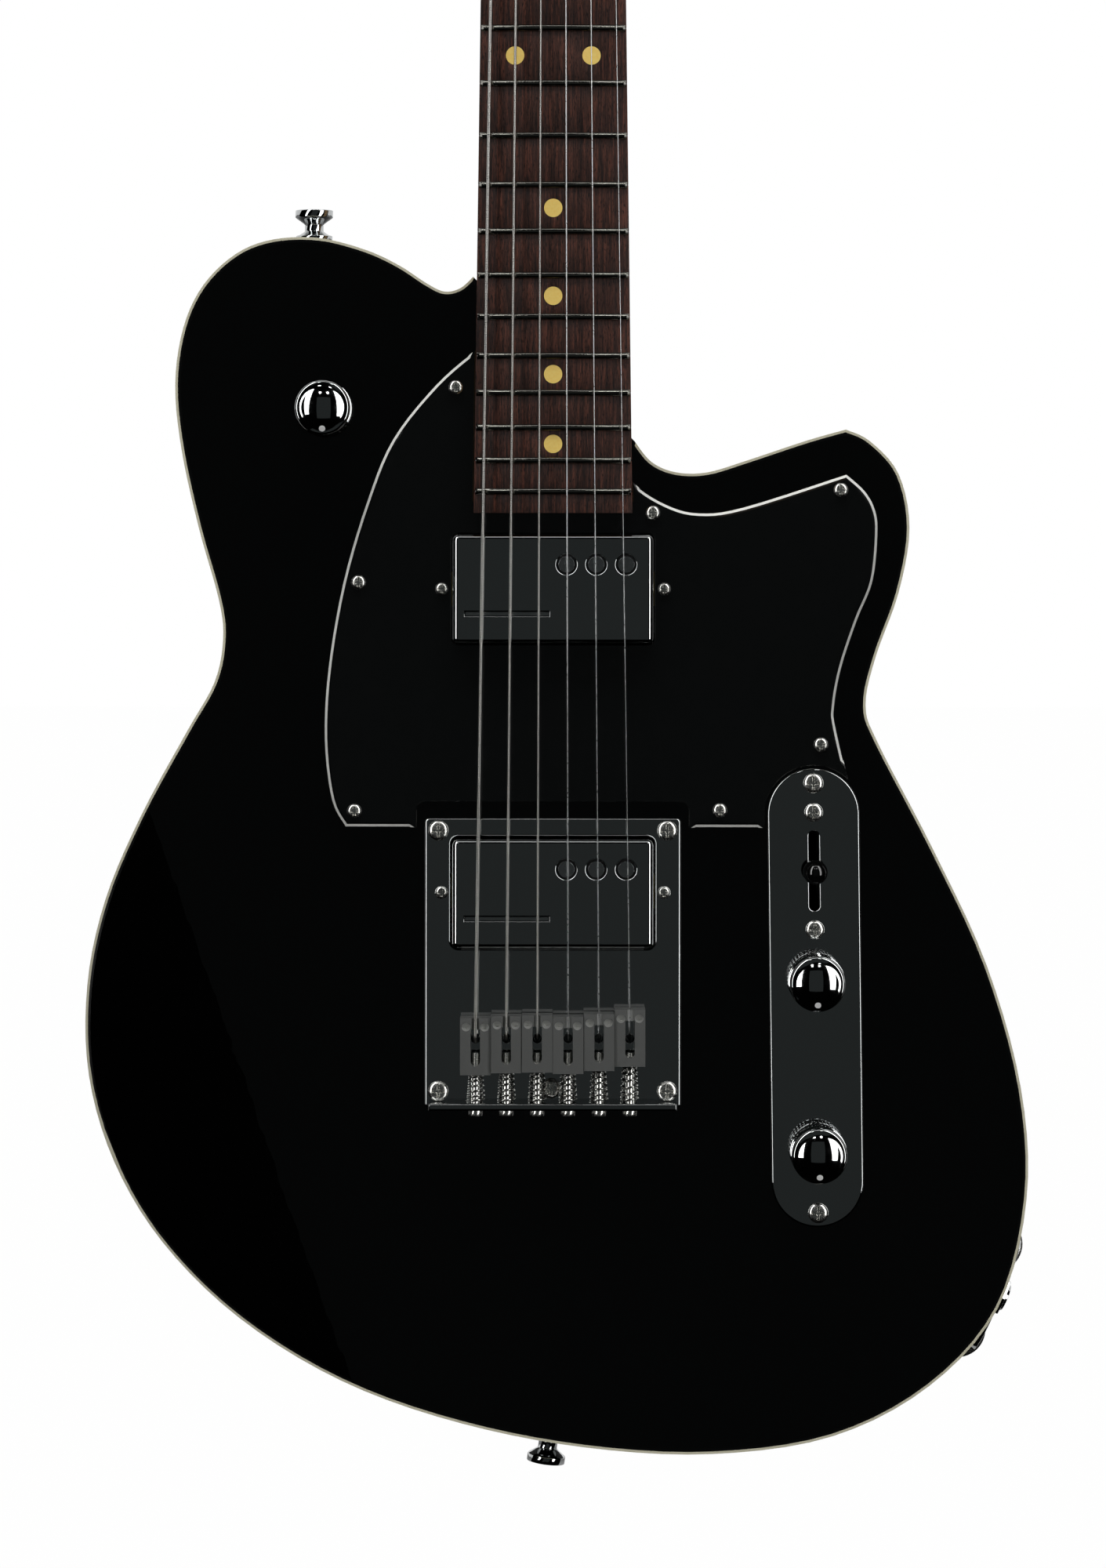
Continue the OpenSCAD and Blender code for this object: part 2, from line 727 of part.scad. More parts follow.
// A bar with the given profile, bent around the fingerboard's curve at y.
module bent_bar(y, half_width) {
    sweep = 2 * asin(half_width / board_radius);
    on_board() translate([0, 0, y]) rotate(-90 - sweep / 2) rotate_extrude(angle = sweep, $fn = round_fn)
        translate([board_radius, 0]) children();
}

module dot_spots() {
    for (n = single_dots) if (n <= fret_count)
        translate([0, (fret_y(n) + fret_y(n - 1)) / 2, 0]) children();
    for (side = [-1, 1])
        translate([side * octave_dot_x, (fret_y(12) + fret_y(11)) / 2, 0]) children();
}

module fingerboard() {
    color(rosewood) difference() {
        intersection() {
            translate([0, 0, neck_top]) linear_extrude(board_thickness + over)
                neck_outline(board_end, scale_length, 0);
            board_face(board_end - over, scale_length + over);
        }
        for (n = [1 : fret_count]) bent_bar(fret_y(n), neck_width(fret_y(n)) / 2 + 2)
            translate([-tang_depth - 0.1, -tang_width / 2]) square([tang_depth + 0.1 + over, tang_width]);
        dot_spots() translate([0, 0, board_height - dot_depth - 0.5])
            cylinder(d = dot_d, h = dot_depth + over);
    }
}

module frets() {
    crown_r = (fret_width * fret_width / 4 + fret_height * fret_height) / (2 * fret_height);
    color(nickel) for (n = [1 : fret_count])
        bent_bar(fret_y(n), neck_width(fret_y(n)) / 2 - fret_inset) {
            intersection() {
                translate([fret_height - crown_r, 0]) circle(r = crown_r);
                translate([0, -fret_width]) square([2 * fret_height, 2 * fret_width]);
            }
            translate([-tang_depth, -tang_width / 2]) square([tang_depth + 0.2, tang_width]);
        }
}

module inlay_dots() {
    color("#e6c873") intersection() {
        dot_spots() translate([0, 0, board_height - dot_depth - 0.5])
            cylinder(d = dot_d, h = dot_depth + over);
        board_face(board_end, scale_length);
    }
}

module nut() {
    top = string_nut + 1;
    color(bone) difference() {
        translate([-nut_width / 2, scale_length, neck_top]) cube([nut_width, nut_thickness, top - neck_top]);
        for (i = strings) {
            slot = string_d[i] * joint_swell + 2 * running_fit;
            channel(string_path(i)[4], string_path(i)[5], slot);
            translate([nut_x(i) - slot / 2, scale_length - over, string_nut + string_d[i] / 2])
                cube([slot, nut_thickness + 2 * over, 5]);
        }
    }
}

module truss_rod() {
    color(satin_metal) translate([0, 0, neck_top - truss_rod_d / 2 - 1]) rotate([-90, 0, 0]) {
        translate([0, 0, heel_y + 26]) cylinder(d = truss_rod_d, h = scale_length - heel_y - 26 + 9);
        translate([0, 0, scale_length + 6]) difference() {
            cylinder(d = truss_rod_d + 2, h = 12);
            translate([0, 0, 6]) cylinder(d = 4.6, h = 7, $fn = 6);
        }
    }
}

module neck_screws() {
    color(nickel) at_neck_screws() difference() {
        union() {
            cylinder(d = 2 * neck_screw_d, h = neck_head_height);
            cylinder(d = neck_screw_d, h = neck_screw_length);
        }
        for (turn = [0, 90]) rotate(turn) cube([5, 1.2, neck_head_height], center = true);
    }
}

module neck_ferrules() {
    color(black_nickel) at_neck_screws() difference() {
        cylinder(d = neck_ferrule_d, h = neck_ferrule_height);
        translate([0, 0, -over])
            cylinder(d = neck_screw_d + screw_clearance, h = neck_ferrule_height + 2 * over);
        translate([0, 0, -over]) cylinder(d = 2 * neck_screw_d + screw_clearance,
            h = over + neck_head_height + seat_clearance);
    }
}

// ---- Strings ----
// Each string runs from its ball in the back, over its saddle in three short bends, over the nut
// and under the string bar to its tuner post, where one sleeve stands for the turns around it.
function tuner_row(i) = i <= 2 ? i : 5 - i;
function post_side(i) = i <= 2 ? -1 : 1;
function wrap_r(i) = post_d / 2 - 0.55 + string_d[i] / 2;
wrap_z = head_face + 7;
bar_z = head_face + 8.4;                          // underside of the string bar
bar_d = 5;
joint_swell = 1.1;                                // the ball at each bend, as a share of the string

function string_path(i) = let(d = string_d[i], top = saddle_z(i) - groove_depth + d / 2 + 0.05,
        break_y = saddle_front[i] - saddle_wall - 0.9) [
    [bridge_x(i), string_hole_y, -body_thickness + string_ferrule_length - 4],
    [bridge_x(i), string_hole_y, bridge_thickness],
    [bridge_x(i), break_y - 1.5, top - 2],
    [bridge_x(i), break_y, top - 0.4],
    [bridge_x(i), break_y + 0.8, top],
    [nut_x(i), scale_length + nut_thickness + 0.5, string_nut + d / 2],
    [nut_x(i) * bar_spread, scale_length + string_bar_y, bar_z - d * joint_swell / 2 - seat_clearance],
    [post_side(i) * (tuner_x - wrap_r(i)), scale_length + first_tuner + tuner_row(i) * tuner_pitch, wrap_z]];

module string_wire(i) {
    path = string_path(i);
    for (k = [0 : len(path) - 2]) channel(path[k], path[k + 1], string_d[i]);
    for (k = [1 : len(path) - 2]) translate(path[k]) sphere(d = string_d[i] * joint_swell, $fn = 32);
    translate(path[0]) translate([0, 0, -3]) cylinder(d = ball_d, h = 3.2);
    translate([post_side(i) * tuner_x, path[7].y, wrap_z]) rotate_extrude()
        translate([post_d / 2 - 0.55, -string_d[i] * 2.5]) square([string_d[i], string_d[i] * 3]);
}

module strings() {
    color(nickel) for (i = strings) string_wire(i);
}

module string_ferrules() {
    color(black_nickel) for (i = strings) translate([bridge_x(i), string_hole_y, -body_thickness])
        difference() {
            cylinder(d = string_ferrule_d, h = string_ferrule_length);
            translate([0, 0, -over]) cylinder(d = 2, h = string_ferrule_length + 2 * over);
            translate([0, 0, -over]) cylinder(d = ball_d + 0.4, h = string_ferrule_length - 3.8 + over);
        }
}

module string_bar() {
    color(black_nickel) translate([0, scale_length + string_bar_y, 0]) difference() {
        union() {
            translate([-19, 0, bar_z + bar_d / 2]) rotate([0, 90, 0]) cylinder(d = bar_d, h = 38);
            for (side = [-1, 1]) translate([side * bar_screw_x, 0, head_face])
                cylinder(d = small_head_d + 0.5, h = bar_z + bar_d - head_face);
        }
        for (side = [-1, 1]) translate([side * bar_screw_x, 0, head_face - over])
            cylinder(d = small_shank_d + screw_clearance, h = 20);
    }
}

// ---- Bridge ----
module bridge_plate() {
    color(black_nickel) difference() {
        union() {
            translate([0, (bridge_front - bridge_rear) / 2, 0]) linear_extrude(bridge_thickness)
                rounded([bridge_width, bridge_length], 1.5);
            translate([-bridge_width / 2 + 1.5, -bridge_rear, 0])
                cube([bridge_width - 3, lip_thickness, lip_height]);
        }
        translate([0, bridge_pickup_y, -over]) linear_extrude(bridge_thickness + 2 * over)
            rounded([pickup_length + 2 * rim, pickup_width + 2 * rim], pickup_corner + rim);
        height_screws(bridge_pickup_y) translate([0, 0, -over])
            cylinder(d = height_screw_d + screw_clearance, h = bridge_thickness + 2 * over);
        for (spot = bridge_screws) translate([spot.x, spot.y, -over])
            cylinder(d = plate_shank_d + screw_clearance, h = bridge_thickness + 2 * over);
        for (i = strings) {
            translate([bridge_x(i), string_hole_y, -over]) cylinder(d = string_hole_d, h = 4);
            translate([bridge_x(i), -bridge_rear - over, saddle_screw_z]) rotate([-90, 0, 0])
                cylinder(d = saddle_screw_d + screw_clearance, h = lip_thickness + 2 * over);
        }
    }
}

module saddle(i) {
    z = saddle_z(i);
    bottom = z - saddle_height;
    color(satin_metal) translate([bridge_x(i), saddle_front[i], 0]) difference() {
        translate([-saddle_width / 2, -saddle_length, bottom])
            cube([saddle_width, saddle_length, saddle_height]);
        translate([-saddle_slot / 2, -saddle_length + saddle_rear_wall + saddle_slot / 2, bottom - over])
            cube([saddle_slot, saddle_length - saddle_wall - saddle_rear_wall - saddle_slot / 2,
                saddle_height + 2 * over]);
        translate([0, -saddle_length + saddle_rear_wall + saddle_slot / 2, bottom - over])
            cylinder(d = saddle_slot, h = saddle_height + 2 * over);
        translate([0, over, z - groove_depth + 1.5]) rotate([90, 0, 0])
            cylinder(r = 1.5, h = saddle_wall + 2 * over);
        translate([0, -saddle_length - over, saddle_screw_z]) rotate([-90, 0, 0])
            cylinder(d = saddle_screw_d + 2 * running_fit, h = saddle_rear_wall + 2 * over);
        grub_spots() translate([0, 0, bottom - over])
            cylinder(d = saddle_screw_d + 2 * seat_clearance, h = saddle_height + 2 * over);
    }
    color(black_nickel) translate([bridge_x(i), saddle_front[i], 0]) grub_spots() {
        foot = bridge_thickness + moving_gap / 2;
        translate([0, 0, foot]) difference() {
            cylinder(d = saddle_screw_d, h = z - 0.8 - foot);
            translate([0, 0, z - 2.6 - foot]) cylinder(d = 1.6, h = 3, $fn = 6);
        }
    }
}

module grub_spots() {
    for (side = [-1, 1]) translate([side * height_screw_spread / 2, -3.1, 0]) children();
}

module at_saddle_screws() {
    for (i = strings) translate([bridge_x(i), -bridge_rear, saddle_screw_z]) rotate([-90, 0, 0]) children();
}

module saddle_screws() {
    reach = bridge_rear - saddle_length + saddle_rear_wall + 3;
    color(nickel) at_saddle_screws() {
        cylinder(d = saddle_screw_d, h = reach);
        difference() {
            translate([0, 0, -2]) cylinder(d = 5, h = 2);
            for (turn = [0, 90]) rotate(turn) translate([0, 0, -2]) cube([3, 0.8, 1.6], center = true);
        }
    }
}

module saddle_springs() {
    color(nickel) for (i = strings) {
        rear = bridge_rear - saddle_length + saddle_front[i];
        translate([bridge_x(i), lip_thickness - bridge_rear, saddle_screw_z]) rotate([-90, 0, 0])
            translate([0, 0, 0.2]) spring(saddle_screw_d / 2 + 0.75, 0.7, rear - lip_thickness - 0.4, 5);
    }
}

// ---- Pickups ----
module height_screws(y) {
    for (side = [-1, 1]) translate([side * height_screw_x, y, 0]) children();
}

module pole_spots() {
    for (k = [-1 : 1]) translate([pole_x + k * pole_pitch, pole_y]) children();
}

// The steel blade that stands in for poles under the low strings.
module blade(grow, bottom, height) {
    translate([blade_x - blade_length / 2 - grow, -pole_y - blade_thickness / 2 - grow, bottom])
        cube([blade_length + 2 * grow, blade_thickness + 2 * grow, height]);
}

module pickup_cover(y, top) {
    color(black_nickel) translate([0, y, top - pickup_height]) difference() {
        linear_extrude(pickup_height) rounded([pickup_length, pickup_width], pickup_corner);
        translate([0, 0, -over]) linear_extrude(pickup_height + over - cover_wall)
            rounded([pickup_length - 2 * cover_wall, pickup_width - 2 * cover_wall], pickup_corner / 2);
        pole_spots() cylinder(d = pole_d + 1.4, h = pickup_height + over);
        blade((blade_slot - blade_thickness) / 2, 0, pickup_height + over);
    }
}

module pickup_core(y, top) {
    inside = pickup_length - 2 * cover_wall - 2;
    bobbin = pickup_height - cover_wall - 0.6;
    translate([0, y, top - pickup_height]) {
        color(brass) difference() {
            translate([0, 0, -base_thickness]) linear_extrude(base_thickness) {
                rounded([pickup_length, pickup_width], pickup_corner);
                rounded([ear_length, ear_width], 3);
            }
            height_screws(0) translate([0, 0, -base_thickness - over])
                cylinder(d = height_screw_d + screw_clearance, h = base_thickness + 2 * over);
        }
        for (side = [-1, 1]) color(dark_plastic) difference() {
            translate([0, side * pole_y, seat_clearance]) linear_extrude(bobbin)
                rounded([inside, 2 * pole_y - 0.8], 6);
            if (side > 0) pole_spots() translate([0, 0, -over])
                cylinder(d = pole_d + 2 * seat_clearance, h = bobbin + 2 * over);
            else blade(seat_clearance, -over, bobbin + 2 * over);
        }
        color(black_nickel) {
            pole_spots() translate([0, 0, seat_clearance]) cylinder(d = pole_d, h = pickup_height);
            blade(0, seat_clearance, pickup_height - 0.3);
        }
    }
}

module neck_pickup_cover() {
    pickup_cover(neck_pickup_y, neck_pickup_top);
}

module neck_pickup_core() {
    pickup_core(neck_pickup_y, neck_pickup_top);
}

module bridge_pickup_cover() {
    pickup_cover(bridge_pickup_y, bridge_pickup_top);
}

module bridge_pickup_core() {
    pickup_core(bridge_pickup_y, bridge_pickup_top);
}

module pickup_springs() {
    color(nickel) for (set = [[neck_pickup_y, neck_pickup_top], [bridge_pickup_y, bridge_pickup_top]])
        height_screws(set[0]) translate([0, 0, set[1] - pickup_height + 0.2])
            spring(height_screw_d / 2 + 0.9, 0.8, pickup_height - set[1] - 0.5, 3);
}

// The screws that set the pickups' height, and the two that hold the selector switch.
module machine_screws() {
    color(nickel) {
        height_screws(neck_pickup_y) translate([0, 0, guard_thickness])
            cross_screw(4.4, height_screw_d, pickup_height + guard_thickness);
        height_screws(bridge_pickup_y) translate([0, 0, bridge_thickness])
            cross_screw(4.4, height_screw_d, pickup_height + bridge_thickness);
        at_control() for (end = [-1, 1])
            translate([0, switch_y + end * switch_screw_y, control_thickness]) cross_screw(5, 3, 4);
    }
}

// ---- Controls ----
module control_plate() {
    color(black_nickel) at_control() difference() {
        linear_extrude(control_thickness) control_outline(0);
        for (y = [volume_y, tone_y]) translate([0, y, -over])
            cylinder(d = bushing_d + 2 * seat_clearance, h = 5);
        for (end = [-1, 1]) {
            translate([0, end * control_screw_y, -over]) cylinder(d = plate_shank_d + screw_clearance, h = 5);
            translate([0, switch_y + end * switch_screw_y, -over]) cylinder(d = 3, h = 5);
        }
        translate([0, switch_y, -over]) linear_extrude(5)
            rounded([slot_width, slot_length], slot_width / 2 - 0.05);
    }
}

module switch_frame() {
    half = 24;
    inside = 9;
    color(nickel) at_control() translate([0, switch_y, 0]) {
        difference() {
            union() {
                translate([-7, -half, -1.2]) cube([14, 2 * half, 1.2]);
                for (side = [-1, 1]) translate([side * (inside / 2 + 0.6) - 0.6, -14, -pivot_depth - 5])
                    cube([1.2, 28, pivot_depth + 4.5]);
            }
            translate([-slot_width / 2, -slot_length / 2, -2]) cube([slot_width, slot_length, 3]);
            for (end = [-1, 1]) translate([0, end * switch_screw_y, -2]) cylinder(d = 3, h = 3);
            translate([-8, 0, -pivot_depth]) rotate([0, 90, 0]) cylinder(d = 3, h = 16);
        }
        translate([-inside / 2 - 1.2, 0, -pivot_depth]) rotate([0, 90, 0]) cylinder(d = 3, h = inside + 2.4);
    }
    color("#8a5a2a") at_control()
        translate([inside / 2 + 1.2 + seat_clearance, switch_y - 13, -pivot_depth - 4])
        cube([1.5, 26, 16]);
}

// The lever and its round tip are one moulded and riveted unit.
module switch_lever() {
    color(nickel) at_control() translate([0, switch_y, -pivot_depth]) difference() {
        union() {
            rotate([0, 90, 0]) translate([0, 0, -3]) cylinder(d = 8, h = 6);
            translate([-lever_thickness / 2, -lever_width / 2, 0])
                cube([lever_thickness, lever_width, pivot_depth + tip_bottom + lever_socket]);
        }
        rotate([0, 90, 0]) cylinder(d = 3 + 2 * running_fit, h = 10, center = true);
    }
    color(dark_plastic) at_control() translate([0, switch_y, tip_bottom]) difference() {
        union() {
            cylinder(d = tip_d, h = 2);
            cylinder(d1 = tip_d * 0.62, d2 = tip_d * 0.8, h = tip_height - 1.6);
            translate([0, 0, tip_height - 1.6]) dome(tip_d * 0.8, 1.6);
        }
        translate([-lever_thickness / 2 - seat_clearance, -lever_width / 2 - seat_clearance, -over])
            cube([lever_thickness + 2 * seat_clearance, lever_width + 2 * seat_clearance,
                lever_socket + seat_clearance + over]);
    }
}

// A potentiometer hangs under the panel: Z 0 is the underside of the panel.
module pot_case(panel) {
    difference() {
        union() {
            translate([0, 0, -pot_height]) cylinder(d = pot_d, h = pot_height);
            cylinder(d = bushing_d, h = panel + nut_height + 0.8);
        }
        translate([0, 0, -pot_height + 1.5]) cylinder(d = shaft_d + 2 * running_fit, h = 40);
    }
}

module pot_nut() {
    difference() {
        cylinder(d = pot_nut_d, h = nut_height, $fn = 6);
        translate([0, 0, -over]) cylinder(d = bushing_d, h = nut_height + 2 * over);
    }
}

module pot_housings() {
    color("#9a9c9b") {
        at_control() for (y = [volume_y, tone_y]) translate([0, y, 0]) pot_case(control_thickness);
        at_contour() translate([0, 0, -contour_web]) pot_case(contour_web);
    }
}

module pot_nuts() {
    color(nickel) {
        at_control() for (y = [volume_y, tone_y]) translate([0, y, control_thickness]) pot_nut();
        at_contour() pot_nut();
    }
}

// A knob with its shaft and set screw. Z 0 is the face that the knob stands over.
module knob(panel) {
    skirt = knob_height - knob_dome;
    dot_y = -knob_d / 2 + 2.5;
    color(black_nickel) translate([0, 0, knob_lift]) difference() {
        union() {
            cylinder(d = knob_d, h = skirt);
            translate([0, 0, skirt]) dome(knob_d - 1.2, knob_dome);
        }
        translate([0, 0, -over]) cylinder(d = 16, h = nut_height + 1.2 + over);
        translate([0, 0, -over]) cylinder(d = shaft_d + 2 * seat_clearance, h = skirt - 2 + over);
        translate([0, 0, set_screw_z]) rotate([0, 90, 0])
            cylinder(d = set_screw_d + 2 * seat_clearance, h = knob_d);
        translate([0, dot_y, skirt + 0.2]) cylinder(d = knob_dot_d + 2 * seat_clearance, h = 4);
    }
    color(nickel) translate([0, 0, -panel - pot_height + 2]) cylinder(d = shaft_d,
        h = panel + pot_height - 2 + knob_lift + skirt - 2 - seat_clearance);
    color(nickel) translate([shaft_d / 2 + seat_clearance, 0, knob_lift + set_screw_z]) rotate([0, 90, 0])
        cylinder(d = set_screw_d, h = (knob_d - shaft_d) / 2 - 1);
    color("white") translate([0, 0, knob_lift + skirt]) intersection() {
        translate([0, dot_y, 0.2 + seat_clearance]) cylinder(d = knob_dot_d, h = 4);
        dome(knob_d - 1.2, knob_dome);
    }
}

module volume_knob() {
    at_control() translate([0, volume_y, control_thickness]) knob(control_thickness);
}

module tone_knob() {
    at_control() translate([0, tone_y, control_thickness]) knob(control_thickness);
}

module contour_knob() {
    at_contour() knob(contour_web);
}

module capacitor() {
    color("#a8651f") at_control() translate([0, tone_y, -pot_height - 3.5]) cylinder(d = 10, h = 3.5);
}

module wiring() {
    color("#c8c8c0") for (c = channels) channel(c[0], c[1], 2.4);
}

// ---- Jack, cover and strap buttons ----
module jack_screws() {
    for (end = [-1, 1]) translate([0, end * (jack_plate_length / 2 - 5), 0]) children();
}

jack_hole_d = 9.4;

module jack_plate() {
    color(black_nickel) at_jack() translate([0, 0, -jack_flat]) difference() {
        linear_extrude(jack_plate_thickness) intersection() {
            square([jack_plate_width, jack_plate_length], center = true);
            scale([jack_plate_width / jack_plate_length * 1.1, 1]) circle(d = jack_plate_length, $fn = 48);
        }
        translate([0, 0, -over]) cylinder(d = jack_hole_d, h = jack_plate_thickness + 2 * over);
        jack_screws() translate([0, 0, -over]) cylinder(d = plate_shank_d + screw_clearance, h = 6);
    }
}

module output_jack() {
    color(nickel) at_jack() translate([0, 0, -jack_flat]) difference() {
        union() {
            translate([0, 0, -face_thread]) cylinder(d = 16, h = face_thread);
            cylinder(d = jack_hole_d, h = jack_plate_thickness + 3.4);
        }
        translate([0, 0, -face_thread + 2]) cylinder(d = jack_bore_d, h = 40);
    }
    color(black_nickel) at_jack() translate([0, 0, jack_plate_thickness - jack_flat]) difference() {
        cylinder(d = pot_nut_d, h = nut_height, $fn = 6);
        translate([0, 0, -over]) cylinder(d = jack_hole_d + 2 * seat_clearance, h = 5);
    }
}

module cover_screws() {
    for (k = [0 : 2]) rotate(30 + 120 * k)
        translate([contour_rout_d / 2 + 3, 0, -body_thickness + cover_recess])
            mirror([0, 0, 1]) children();
}

module back_cover() {
    color(dark_plastic) at_contour() difference() {
        translate([0, 0, -body_thickness + cover_recess - cover_thickness])
            cylinder(d = cover_d - 2 * 0.2, h = cover_thickness);
        cover_screws() cylinder(d = small_shank_d + screw_clearance, h = 10);
    }
}

module strap_buttons() {
    color(black_nickel) for (spot = strap_spots) at_strap(spot) difference() {
        union() {
            cylinder(d = strap_head_d - 0.4, h = 2);
            translate([0, 0, 2]) cylinder(d1 = strap_head_d - 2, d2 = strap_head_d / 2, h = 1.5);
            cylinder(d = strap_head_d / 2, h = strap_height - 1);
            translate([0, 0, strap_height - 5]) cylinder(d1 = strap_head_d / 2, d2 = strap_head_d, h = 2.4);
            translate([0, 0, strap_height - 2.6]) cylinder(d = strap_head_d, h = 2.6);
        }
        translate([0, 0, -over]) cylinder(d = plate_shank_d, h = strap_height + 2 * over);
        translate([0, 0, strap_height - 1.6]) cylinder(d = plate_head_d + 0.4, h = 2);
    }
}

// ---- Screws in groups ----
module plate_screws() {
    color(nickel) {
        for (spot = bridge_screws) translate([spot.x, spot.y, bridge_thickness])
            cross_screw(plate_head_d, plate_shank_d, 2 * screw_depth);
        at_control() for (end = [-1, 1]) translate([0, end * control_screw_y, control_thickness])
            cross_screw(plate_head_d, plate_shank_d, 1.5 * screw_depth);
        at_jack() translate([0, 0, jack_plate_thickness - jack_flat]) jack_screws()
            cross_screw(plate_head_d - 1, plate_shank_d, 1.5 * screw_depth);
        for (spot = strap_spots) at_strap(spot) translate([0, 0, strap_height - 1.6])
            cross_screw(plate_head_d, plate_shank_d, 2 * screw_depth);
    }
}

module small_screws() {
    color(nickel) {
        for (spot = guard_screws) translate([spot.x, spot.y, guard_thickness])
            cross_screw(small_head_d, small_shank_d, screw_depth);
        at_contour() cover_screws() translate([0, 0, cover_thickness])
            cross_screw(small_head_d - 0.6, small_shank_d, screw_depth);
        at_tuners() tuner_screw_spot() under_headstock() mirror([0, 0, 1]) translate([0, 0, 2])
            cross_screw(small_head_d - 0.6, small_shank_d, 9);
        for (side = [-1, 1]) translate([side * bar_screw_x, scale_length + string_bar_y, bar_z + bar_d])
            cross_screw(small_head_d, small_shank_d, bar_z + bar_d - head_face + 8);
    }
}

// ---- Tuners ----
module tuner_screw_spot() {
    translate([-11, 5, 0]) children();
}

module tuner_housings() {
    color(black_nickel) at_tuners() under_headstock() difference() {
        union() {
            translate([0, -2.6, -housing_height]) linear_extrude(housing_height) rounded([17, 21], 3);
            translate([0, worm_y, worm_z]) rotate([0, 90, 0]) cylinder(d = 7.6, h = 11.5);
            tuner_screw_spot() translate([0, 0, -2]) cylinder(d = 7, h = 2);
        }
        translate([0, 0, -housing_height + 1.2]) cylinder(d = gear_d + 2 * moving_gap, h = housing_height);
        translate([-7, worm_y, worm_z]) rotate([0, 90, 0])
            cylinder(d = worm_d + 2 * moving_gap, h = 14);
        translate([0, worm_y, worm_z]) rotate([0, 90, 0])
            cylinder(d = button_shaft_d + 2 * running_fit, h = 20);
        tuner_screw_spot() translate([0, 0, -5]) cylinder(d = small_shank_d + screw_clearance, h = 6);
    }
}

module tuner_bushings() {
    color(black_nickel) at_tuners() difference() {
        union() {
            translate([0, 0, head_back]) cylinder(d = tuner_bushing_d, h = head_thickness);
            above_headstock() cylinder(d = 14, h = 1);
            above_headstock() cylinder(d = 12.4, h = 3, $fn = 6);
        }
        translate([0, 0, head_back - over]) cylinder(d = post_d + 2 * running_fit, h = head_thickness + 10);
    }
}

module tuner_post(i) {
    waist_z = head_face + 4;
    color(nickel) at_tuner(i) difference() {
        union() {
            translate([0, 0, head_back - housing_height + 1.2 + moving_gap])
                cylinder(d = post_d, h = waist_z - head_back + housing_height - 1.2 - moving_gap);
            translate([0, 0, head_back - 6.6]) cylinder(d = gear_d, h = 3.6);
            translate([0, 0, waist_z]) cylinder(d = post_d - 1.2, h = 5);
            translate([0, 0, waist_z + 5]) cylinder(d1 = post_d - 1.2, d2 = post_d, h = 1);
            translate([0, 0, waist_z + 6]) cylinder(d = post_d, h = post_height - 11);
            translate([0, 0, head_face + post_height - 1]) dome(post_d, 1);
        }
        translate([0, 0, head_face + 9.4]) rotate([0, 90, 0]) cylinder(d = 1.5, h = 20, center = true);
    }
}

module tuner_button(i) {
    color(black_nickel) at_tuner(i) under_headstock() translate([0, worm_y, worm_z]) {
        rotate([0, 90, 0]) {
            translate([0, 0, -6.6]) cylinder(d = worm_d, h = 13.2);
            cylinder(d = button_shaft_d, h = button_x + 4);
            translate([0, 0, 11.5 + moving_gap]) cylinder(d = 6.4, h = 2);
        }
        translate([button_x + button_length / 2, 0, 0]) rotate([90, 0, 0])
            linear_extrude(button_width, center = true) rounded([button_length, 8], 3);
    }
}

hang() body();
hang() binding();
hang() pickguard();
hang() neck();
hang() fingerboard();
hang() frets();
hang() inlay_dots();
hang() nut();
hang() truss_rod();
hang() neck_screws();
hang() neck_ferrules();
hang() strings();
hang() string_ferrules();
hang() string_bar();
hang() bridge_plate();
hang() saddle(0);  // saddle_1
hang() saddle(1);  // saddle_2
hang() saddle(2);  // saddle_3
hang() saddle(3);  // saddle_4
hang() saddle(4);  // saddle_5
hang() saddle(5);  // saddle_6
hang() saddle_screws();
hang() saddle_springs();
hang() neck_pickup_cover();
hang() neck_pickup_core();
hang() bridge_pickup_cover();
hang() bridge_pickup_core();
hang() pickup_springs();
hang() machine_screws();
hang() control_plate();
hang() plate_screws();
hang() small_screws();
hang() switch_frame();
hang() switch_lever();
hang() pot_housings();
hang() pot_nuts();
hang() volume_knob();
hang() tone_knob();
hang() contour_knob();
hang() capacitor();
hang() wiring();
hang() output_jack();
hang() jack_plate();
hang() back_cover();
hang() strap_buttons();
hang() tuner_housings();
hang() tuner_bushings();
hang() tuner_post(1);  // tuner_post_1
hang() tuner_post(2);  // tuner_post_2
hang() tuner_post(3);  // tuner_post_3
hang() tuner_post(4);  // tuner_post_4
hang() tuner_post(5);  // tuner_post_5
hang() tuner_post(6);  // tuner_post_6
hang() tuner_button(1);  // tuner_button_1
hang() tuner_button(2);  // tuner_button_2
hang() tuner_button(3);  // tuner_button_3
hang() tuner_button(4);  // tuner_button_4
hang() tuner_button(5);  // tuner_button_5
hang() tuner_button(6);  // tuner_button_6
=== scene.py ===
# %% [markdown]
# # Dressing an electric guitar in Blender
# The guitar comes from CAD as 59 separate nodes, in metres, hanging upright with its face to -Y.
# This lesson puts a camera and studio light around it, gives each piece the finish of the real
# thing, and rebuilds the few pieces that CAD can only draw plainly, such as strings and springs.

